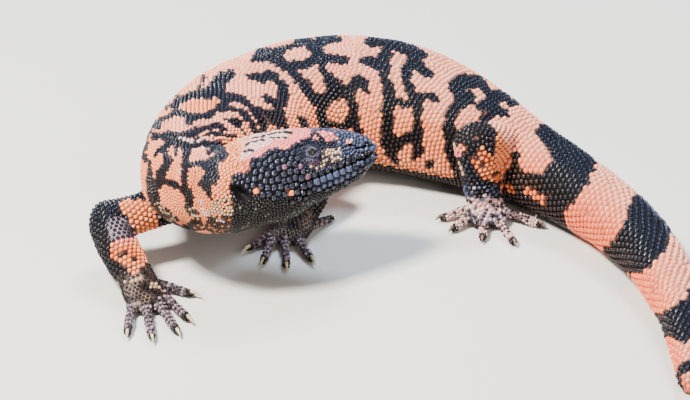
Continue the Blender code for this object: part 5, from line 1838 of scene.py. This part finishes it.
    def outlines(self, seeds: Seeds, normals: Array, snug: Array) -> tuple[Array, Array, Array]:
        """How far each bead can reach each way before it meets its neighbours, where snug is 1 for close scales.

        Returns:
            Reaches by bead and direction, and the two directions that span each bead's plane.
        """
        points = seeds.points
        tree = search_tree(points)
        near = np.array([[hit[1] for hit in tree.find_n(point, 11)][1:] for point in points])
        along = unit(np.cross(normals, [0.31, 0.83, 0.46]))
        across = np.cross(normals, along)
        offset = points[near] - points[:, None]
        flat = np.stack([(offset * along[:, None]).sum(axis=2), (offset * across[:, None]).sum(axis=2)], axis=2)
        gap = np.maximum(np.linalg.norm(flat, axis=2), 0.1)
        share = seeds.pitch[:, None] / (seeds.pitch[:, None] + seeds.pitch[near])
        angle = 2 * math.pi * np.arange(self.form.sides) / self.form.sides
        spokes = np.stack([np.cos(angle), np.sin(angle)], axis=1)
        facing = np.einsum("bnk,sk->bns", flat / gap[:, :, None], spokes)
        tight = np.maximum(0, facing) / (gap * share)[:, :, None]
        cap = 1 / ((0.54 + 0.12 * seeds.flat) * seeds.pitch)
        total = (tight**12).sum(axis=1) + (cap**12)[:, None]
        tightness = (0.93 + 0.05 * snug)[:, None]
        return total ** (-1 / 12) * tightness - (0.06 - 0.05 * snug)[:, None], along, across

    def build(self) -> list[bpy.types.Object]:
        """Makes the coat in pieces, one for each length of the animal."""
        seeds = self.seeds()
        places, normals, _ = self.ground(seeds.points)
        seeds.points = places
        spots = self.atlas.place(places)
        heads = np.array([loft.kind is Kind.HEAD for loft in self.atlas.lofts])[spots.owner]
        paint = self.markings.paint(spots, 77)
        kinds = self.atlas.kinds(spots)
        black = np.where(kinds == Kind.BODY, -0.4, 0.2)
        snug = np.where(heads, 1.0, np.where(paint.bead.mean(axis=1) > 0.2, 0.8, black))
        snug = np.where((kinds == Kind.PALM) | (kinds == Kind.TOE), 0.7, snug)
        reach, along, across = self.outlines(seeds, normals, snug)
        reach = np.maximum(reach, 0.2)
        height = self._heights(seeds, spots, normals)
        names = self._pieces(spots)
        pattern, faces = self.form.model()
        made = []
        for name in sorted(set(names)):
            chosen = np.nonzero(names == name)[0]
            made.append(self._piece(name, chosen, pattern, faces, places, normals, along, across, reach, height,
                                    paint, spots, seeds))
        return made

    def _heights(self, seeds: Seeds, spots: Places, normals: Array) -> Array:
        """How high each bead stands: tall on the temples, low on crown, lips and belly."""
        kinds = self.atlas.kinds(spots)
        rise = seeds.rise.copy()
        body = kinds == Kind.BODY
        belly = ramp(np.abs(spots.turn), 105, 140)
        back = 0.43 + 0.01 * ramp(np.abs(spots.turn), 25, 60) + 0.06 * (1 - ramp(spots.along, 50, 80))
        rise = np.where(body, back + (0.16 - back) * belly, rise)
        rise = np.where(kinds == Kind.TOE, 0.3, rise)
        rise = np.where(kinds == Kind.PALM, 0.34, rise)
        height = rise * seeds.pitch
        room = np.where(normals[:, 2] < -0.3, seeds.points[:, 2] * 0.9 / np.maximum(-normals[:, 2], 0.1), 9.0)
        return np.clip(np.minimum(height, room), 0.12, None)

    def _pieces(self, spots: Places) -> Array:
        """The name of the piece that each bead belongs to."""
        cuts = (("neck", 0), ("chest", 55), ("trunk_fore", 95), ("trunk_hind", 140), ("pelvis", 182), ("tail", 226))
        names = np.empty(len(spots.owner), dtype="U24")
        for number, loft in enumerate(self.atlas.lofts):
            mine = spots.owner == number
            if loft.kind is Kind.BODY:
                for name, start in cuts:
                    names[mine & (spots.along >= start)] = "beads_" + name
            elif loft.kind is Kind.HEAD:
                low = self.head.to_local(spots.points)[:, 2] < -8
                names[mine] = "beads_head"
                names[mine & low] = "beads_throat"
            else:
                names[mine] = "beads_" + LIMBS[loft.limb].name
        return names

    def _piece(
        self, name: str, chosen: Array, pattern: Array, faces: list, places: Array, normals: Array, along: Array,
        across: Array, reach: Array, height: Array, paint: Paint, spots: Places, seeds: Seeds,
    ) -> bpy.types.Object:
        """One piece of the coat, with its colours, painted shade low on each bead and a painted highlight on its
        top, and its bake map.
        """
        number = len(pattern)
        side = pattern[:, 0].astype(int)
        angle = 2 * math.pi * side / self.form.sides
        domed, level = np.array(self.form.profile), np.array(self.form.plate)
        plate = seeds.flat[chosen][:, None]
        width = pattern[:, 1] + plate * (np.interp(pattern[:, 2], domed[:, 1], level[:, 0]) * (pattern[:, 1] > 0)
                                         - pattern[:, 1])
        level_height = np.interp(pattern[:, 2], [*domed[:, 1], 1.0], [*level[:, 1], 1.0])
        lift = pattern[:, 2] + plate * (level_height - pattern[:, 2])
        radius = reach[chosen][:, side] * width
        flat = np.stack([radius * np.cos(angle), radius * np.sin(angle)], axis=2)
        high = height[chosen][:, None]
        rise = np.where(pattern[:, 2] < 0, np.minimum(high, 0.8) * lift, high * lift)
        points = (
            places[chosen][:, None]
            + flat[:, :, :1] * along[chosen][:, None]
            + flat[:, :, 1:] * across[chosen][:, None]
            + rise[:, :, None] * normals[chosen][:, None]
        )
        points[:, :, 2] = np.maximum(points[:, :, 2], 0.02)
        # Each bead is darkened towards its sunken rim as painted shade between the beads, and brightened at its top
        # as a painted highlight, more so on dark beads.
        light = np.clip(2.2 * paint.bead[chosen].mean(axis=1), 0, 1)[:, None]
        dark_bead_shade_and_highlight = np.interp(pattern[:, 2], (-0.42, 0.28, 0.8, 1.0), (0.24, 0.52, 1.02, 1.3))
        pale_bead_shade_and_highlight = np.interp(pattern[:, 2], (-0.42, 0.28, 0.8, 1.0), (0.66, 0.86, 1.0, 1.04))
        tint = paint.bead[chosen][:, None] * (dark_bead_shade_and_highlight + light * (pale_bead_shade_and_highlight - dark_bead_shade_and_highlight))[:, :, None]
        mesh = bpy.data.meshes.new(name)
        corners = np.array([corner for face in faces for corner in face])
        sizes = np.array([len(face) for face in faces])
        count = len(chosen)
        mesh.vertices.add(count * number)
        mesh.vertices.foreach_set("co", (points * MM).reshape(-1))
        loops = (corners[None] + number * np.arange(count)[:, None]).reshape(-1)
        mesh.loops.add(len(loops))
        mesh.loops.foreach_set("vertex_index", loops)
        totals = np.tile(sizes, count)
        mesh.polygons.add(len(totals))
        mesh.polygons.foreach_set("loop_start", np.concatenate([[0], np.cumsum(totals)[:-1]]))
        mesh.update(calc_edges=True)
        mesh.shade_smooth()
        store_tint(mesh, tint.reshape(-1, 3))
        patch = flat / np.maximum(reach[chosen].max(axis=1), 0.2)[:, None, None] * 0.0015
        where = self._unwrap(spots, chosen)[:, None] + patch
        uv = mesh.uv_layers.new(name="OFBake")
        uv.data.foreach_set("uv", where.reshape(-1, 2)[loops].reshape(-1))
        made = bpy.data.objects.new(name, mesh)
        bpy.context.collection.objects.link(made)
        return made

    def _unwrap(self, spots: Places, chosen: Array) -> Array:
        """Each bead's place on the opened skin of its forms, side by side in one square."""
        along, arc, owner = spots.along[chosen], spots.arc[chosen], spots.owner[chosen]
        where = np.zeros((len(chosen), 2))
        base = 0.0
        for number in np.unique(owner):
            mine = owner == number
            where[mine, 0] = along[mine] - along[mine].min()
            where[mine, 1] = base + arc[mine] - arc[mine].min()
            base = where[mine, 1].max() + 4
        span = max(where[:, 0].max(), where[:, 1].max(), 1.0)
        return 0.01 + where / span * 0.98


@dataclass
class Claws:
    """The claws of one foot: curved horns that taper to a blunt point."""

    limb: Limb
    sides: int = 12
    profile: tuple = ((0.0, 2.2, 1.15), (0.35, 2.7, 1.05), (0.7, 2.0, 0.75), (0.9, 1.2, 0.46), (1.0, 0.7, 0.3))

    def build(self) -> bpy.types.Object:
        """Makes the five claws as one piece."""
        horns = []
        for digit in self.limb.digits:
            rows = []
            for share, height, radius in self.profile:
                place = digit.place(digit.length * 0.94 + self.limb.claw * share, height)
                rows.append(place + (radius * 0.9, radius * 1.1))
            horns.append(self.limb.tube("claw", Kind.TOE, rows, self.sides, 0.5, 1.0, False))
        claws = Loft.joined(horns, "claws_" + self.limb.name)
        claws.data.shade_smooth()
        return claws


class Socket:
    """A node's output, on which sums can be written."""

    def __init__(self, maker: "NodeMaker", link: bpy.types.NodeSocket) -> None:
        """Wraps an output of a node in a maker's tree."""
        self.maker = maker
        self.link = link

    def _math(self, operation: str, first: "Socket | float", second: "Socket | float") -> "Socket":
        """Adds a Math node."""
        return self.maker.node("ShaderNodeMath", {"operation": operation}, {0: first, 1: second})

    def __mul__(self, other: "Socket | float") -> "Socket":
        """Product."""
        return self._math("MULTIPLY", self, other)

    def __rmul__(self, other: float) -> "Socket":
        """Product with a number before it."""
        return self._math("MULTIPLY", other, self)

    def __add__(self, other: "Socket | float") -> "Socket":
        """Sum."""
        return self._math("ADD", self, other)

    def __radd__(self, other: float) -> "Socket":
        """Sum with a number before it."""
        return self._math("ADD", other, self)


class NodeMaker:
    """Builds one material's nodes."""

    def __init__(self, name: str) -> None:
        """Starts a material with its main shader."""
        self.material = bpy.data.materials.new(name)
        self.material.use_nodes = True
        self.tree = self.material.node_tree
        self.shader = self.tree.nodes["Principled BSDF"]

    def node(self, kind: str, settings: dict, inputs: dict, output: int | str = 0) -> Socket:
        """Adds a node.

        Args:
            kind: The node's type.
            settings: Its own settings, set first. A list under "stops" gives a ramp's places and colours.
            inputs: Values or links of its sockets, by name or number.
            output: The output to return.

        Returns:
            That output.
        """
        node = self.tree.nodes.new(kind)
        for key, value in settings.items():
            if key != "stops":
                setattr(node, key, value)
                continue
            while len(node.color_ramp.elements) < len(value):
                node.color_ramp.elements.new(0.5)
            for element, (place, colour) in zip(node.color_ramp.elements, value):
                element.position = place
                element.color = colour
        self.fill(node, inputs)
        return Socket(self, node.outputs[output])

    def fill(self, node: bpy.types.Node, inputs: dict) -> None:
        """Sets or links a node's inputs."""
        for key, value in inputs.items():
            if isinstance(value, Socket):
                self.tree.links.new(value.link, node.inputs[key])
            else:
                node.inputs[key].default_value = value

    def coordinates(self) -> Socket:
        """Object coordinates."""
        return self.node("ShaderNodeTexCoord", {}, {}, "Object")

    def noise(self, scale: float, detail: float = 3.0, rough: float = 0.55) -> Socket:
        """Even noise over the object, whose scale is in hills per metre."""
        return self.node(
            "ShaderNodeTexNoise", {}, {"Vector": self.coordinates(), "Scale": scale, "Detail": detail,
                                       "Roughness": rough}, 0,
        )

    def attribute(self, name: str) -> Socket:
        """A colour painted on the mesh."""
        return self.node("ShaderNodeAttribute", {"attribute_name": name}, {}, "Color")

    def shaded(self, colour: Socket, dark: tuple, share: Socket) -> Socket:
        """A colour multiplied towards a darker tint by a share."""
        return self.node(
            "ShaderNodeMix", {"data_type": "RGBA", "blend_type": "MULTIPLY"}, {0: share, 6: colour, 7: dark}, 2,
        )

    def bump(self, height: Socket, distance: float, strength: float) -> Socket:
        """A surface roughened by a height."""
        return self.node("ShaderNodeBump", {}, {"Height": height, "Distance": distance, "Strength": strength})


@dataclass(frozen=True)
class BeadFinish:
    """Horny beads: satin, a little uneven, with dust in their colour."""

    roughness: float = 0.2
    grain: float = 2600.0

    def make(self) -> bpy.types.Material:
        """The material."""
        maker = NodeMaker("bead_horn")
        grain = maker.noise(self.grain, 2.0)
        dust = maker.noise(420.0, 2.0)
        colour = maker.shaded(maker.attribute("Tint"), (0.78, 0.74, 0.72, 1.0), dust * 0.8)
        maker.fill(maker.shader, {
            "Base Color": colour,
            "Roughness": grain * 0.16 + (self.roughness - 0.08),
            "Normal": maker.bump(grain, 0.00008, 0.2),
            "Specular IOR Level": 0.38,
        })
        return maker.material


@dataclass(frozen=True)
class SkinFinish:
    """Soft skin between the beads: matt, finely wrinkled."""

    roughness: float = 0.62

    def make(self) -> bpy.types.Material:
        """The material."""
        maker = NodeMaker("skin_between")
        cells = maker.node(
            "ShaderNodeTexVoronoi", {"feature": "F1"}, {"Vector": maker.coordinates(), "Scale": 1400.0}, "Distance",
        )
        noise = maker.noise(900.0, 4.0)
        colour = maker.shaded(maker.attribute("Tint"), (0.55, 0.5, 0.48, 1.0), noise)
        maker.fill(maker.shader, {
            "Base Color": colour,
            "Roughness": noise * 0.2 + (self.roughness - 0.1),
            "Normal": maker.bump(cells + noise * 0.5, 0.0003, 0.6),
            "Specular IOR Level": 0.12,
        })
        return maker.material


@dataclass(frozen=True)
class HornFinish:
    """Horn of the claws, browner in places.

    Attributes:
        name: The material's name.
        deep: Its browner colour.
        light: Its paler colour.
    """

    name: str = "claw_horn"
    deep: tuple = (150, 120, 78)
    light: tuple = (226, 204, 158)

    def make(self) -> bpy.types.Material:
        """The material."""
        maker = NodeMaker(self.name)
        noise = maker.noise(500.0, 4.0)
        colour = maker.node("ShaderNodeValToRGB", {"stops": [
            (0.25, (*linear(*self.deep), 1.0)), (0.62, (*linear(*self.light), 1.0)),
        ]}, {"Fac": noise}, "Color")
        maker.fill(maker.shader, {
            "Base Color": colour, "Roughness": noise * 0.2 + 0.25, "Normal": maker.bump(noise, 0.0002, 0.25),
        })
        return maker.material


@dataclass(frozen=True)
class EyeFinish:
    """A dark wet eye."""

    def make(self) -> bpy.types.Material:
        """The material."""
        maker = NodeMaker("eye_wet")
        noise = maker.noise(2200.0, 3.0)
        colour = maker.node("ShaderNodeValToRGB", {"stops": [
            (0.3, (0.004, 0.004, 0.006, 1.0)), (0.75, (0.03, 0.022, 0.018, 1.0)),
        ]}, {"Fac": noise}, "Color")
        maker.fill(maker.shader, {
            "Base Color": colour, "Roughness": noise * 0.03 + 0.05, "Coat Weight": 0.35, "Coat Roughness": 0.03,
            "Specular IOR Level": 0.25,
        })
        return maker.material


@dataclass(frozen=True)
class FloorFinish:
    """A plain pale floor."""

    def make(self) -> bpy.types.Material:
        """The material."""
        maker = NodeMaker("floor_pale")
        noise = maker.noise(3.0, 2.0)
        colour = maker.node("ShaderNodeValToRGB", {"stops": [
            (0.3, (*linear(214, 210, 200), 1.0)), (0.7, (*linear(220, 216, 207), 1.0)),
        ]}, {"Fac": noise}, "Color")
        maker.fill(maker.shader, {"Base Color": colour, "Roughness": noise * 0.1 + 0.7})
        return maker.material


@dataclass
class Studio:
    """A plain floor and soft lights."""

    view: Viewpoint

    def build(self) -> None:
        """Adds the floor, the lights and the camera."""
        bpy.ops.object.select_all(action="DESELECT")
        bpy.ops.mesh.primitive_plane_add(size=8.0, location=(0, 1.0, 0))
        floor = bpy.context.object
        floor.name = "floor"
        bpy.ops.object.transform_apply(location=True)
        floor.data.materials.append(FloorFinish().make())
        self._light("key", (-0.55, -0.35, 1.05), 0.24, 50.0, (1.0, 0.97, 0.93))
        self._light("sky", (0.25, 0.75, 1.25), 0.45, 32.0, (0.62, 0.78, 1.0))
        self._light("fill", (0.7, -1.2, 0.7), 0.9, 12.0, (1.0, 0.96, 0.92))
        world = bpy.data.worlds.new("studio")
        world.use_nodes = True
        world.node_tree.nodes["Background"].inputs["Color"].default_value = (0.9, 0.94, 1.0, 1.0)
        world.node_tree.nodes["Background"].inputs["Strength"].default_value = 0.28
        bpy.context.scene.world = world
        self.view.build()

    @staticmethod
    def _light(name: str, place: tuple, size: float, power: float, colour: tuple) -> None:
        """Adds a square soft light that faces the animal."""
        way = Vector((0, -0.05, 0.02)) - Vector(place)
        bpy.ops.object.light_add(type="AREA", location=place, rotation=way.to_track_quat("-Z", "Y").to_euler())
        light = bpy.context.object
        light.name = name
        light.data.size = size
        light.data.energy = power
        light.data.color = colour


def tinted(skin: bpy.types.Object, atlas: Atlas, markings: Markings) -> None:
    """Paints the skin between the beads, with painted shade darkening the mouth line, the nostrils and the ears."""
    mesh = skin.data
    points = np.empty(len(mesh.vertices) * 3)
    mesh.vertices.foreach_get("co", points)
    points = points.reshape(-1, 3) / MM
    colours = markings.paint(atlas.place(points), 11).skin
    x, y, z = markings.head.to_local(points).T
    head = (x > -8) & (x < 62) & (np.abs(y) < 30) & (np.abs(z) < 22)
    # Painted shade in the mouth's slit, the nostrils' pits and the ears' cups.
    mouth = np.exp(-(((z - markings.head.lip(x)) / 0.9) ** 2)) * ramp(x, 21, 26)
    nostril = 1 - ramp(np.hypot(x - markings.head.nostril[0], z - markings.head.nostril[1]), 0.6, 1.3)
    ear = 1 - ramp(markings.head.ear_gap(x, z), 0.7, 1.2)
    dark = np.where(head, np.clip(mouth + (nostril + ear) * (np.abs(y) > 5), 0, 1), 0)
    colours = blend(colours, Tone.MOUTH.linear(), dark)
    store_tint(mesh, colours)


def main() -> None:
    """Builds the animal and the studio in order."""
    logging.basicConfig(level=logging.INFO, format="%(message)s")
    view = Viewpoint()
    Studio(view).build()
    body, head = Body(), Head()
    lofts = [body.loft(), head.loft(body)]
    for limb in LIMBS:
        lofts += limb.lofts()
    atlas = Atlas(lofts)
    markings = Markings(atlas, body, head, view)
    eyes = [Eye.of(name, head) for name in EYE_NODES]
    skin = Skin(lofts, head, body, eyes, view).build()
    log.info("skin: %d faces", len(skin.data.polygons))
    tinted(skin, atlas, markings)
    skin.data.materials.clear()
    skin.data.materials.append(SkinFinish().make())
    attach(skin, "root")
    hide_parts(*BODY_NODES, *(name for limb in LIMBS for name in limb.nodes))
    horn = BeadFinish().make()
    total = 0
    for piece in Coat(skin, atlas, body, head, markings, eyes).build():
        piece.data.materials.append(horn)
        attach(piece, "root")
        faces = len(piece.data.loops) - 2 * len(piece.data.polygons)
        total += faces
        log.info("%s: %d triangles", piece.name, faces)
    log.info("coat: %d triangles", total)
    claw_horn = HornFinish().make()
    dark_horn = HornFinish("claw_horn_dark", (58, 42, 34), (128, 104, 82)).make()
    for limb in LIMBS:
        claws = Claws(limb).build()
        claws.data.materials.append(claw_horn if limb.name.startswith("arm") else dark_horn)
        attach(claws, "root")
        log.info("%s: %d faces", claws.name, len(claws.data.polygons))
    wet = EyeFinish().make()
    for name, eye in zip(EYE_NODES, eyes):
        ball = eye.build()
        ball.name = "ball_" + name
        ball.data.materials.append(wet)
        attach(ball, "root")
        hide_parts(name)


if __name__ == "__main__":
    main()
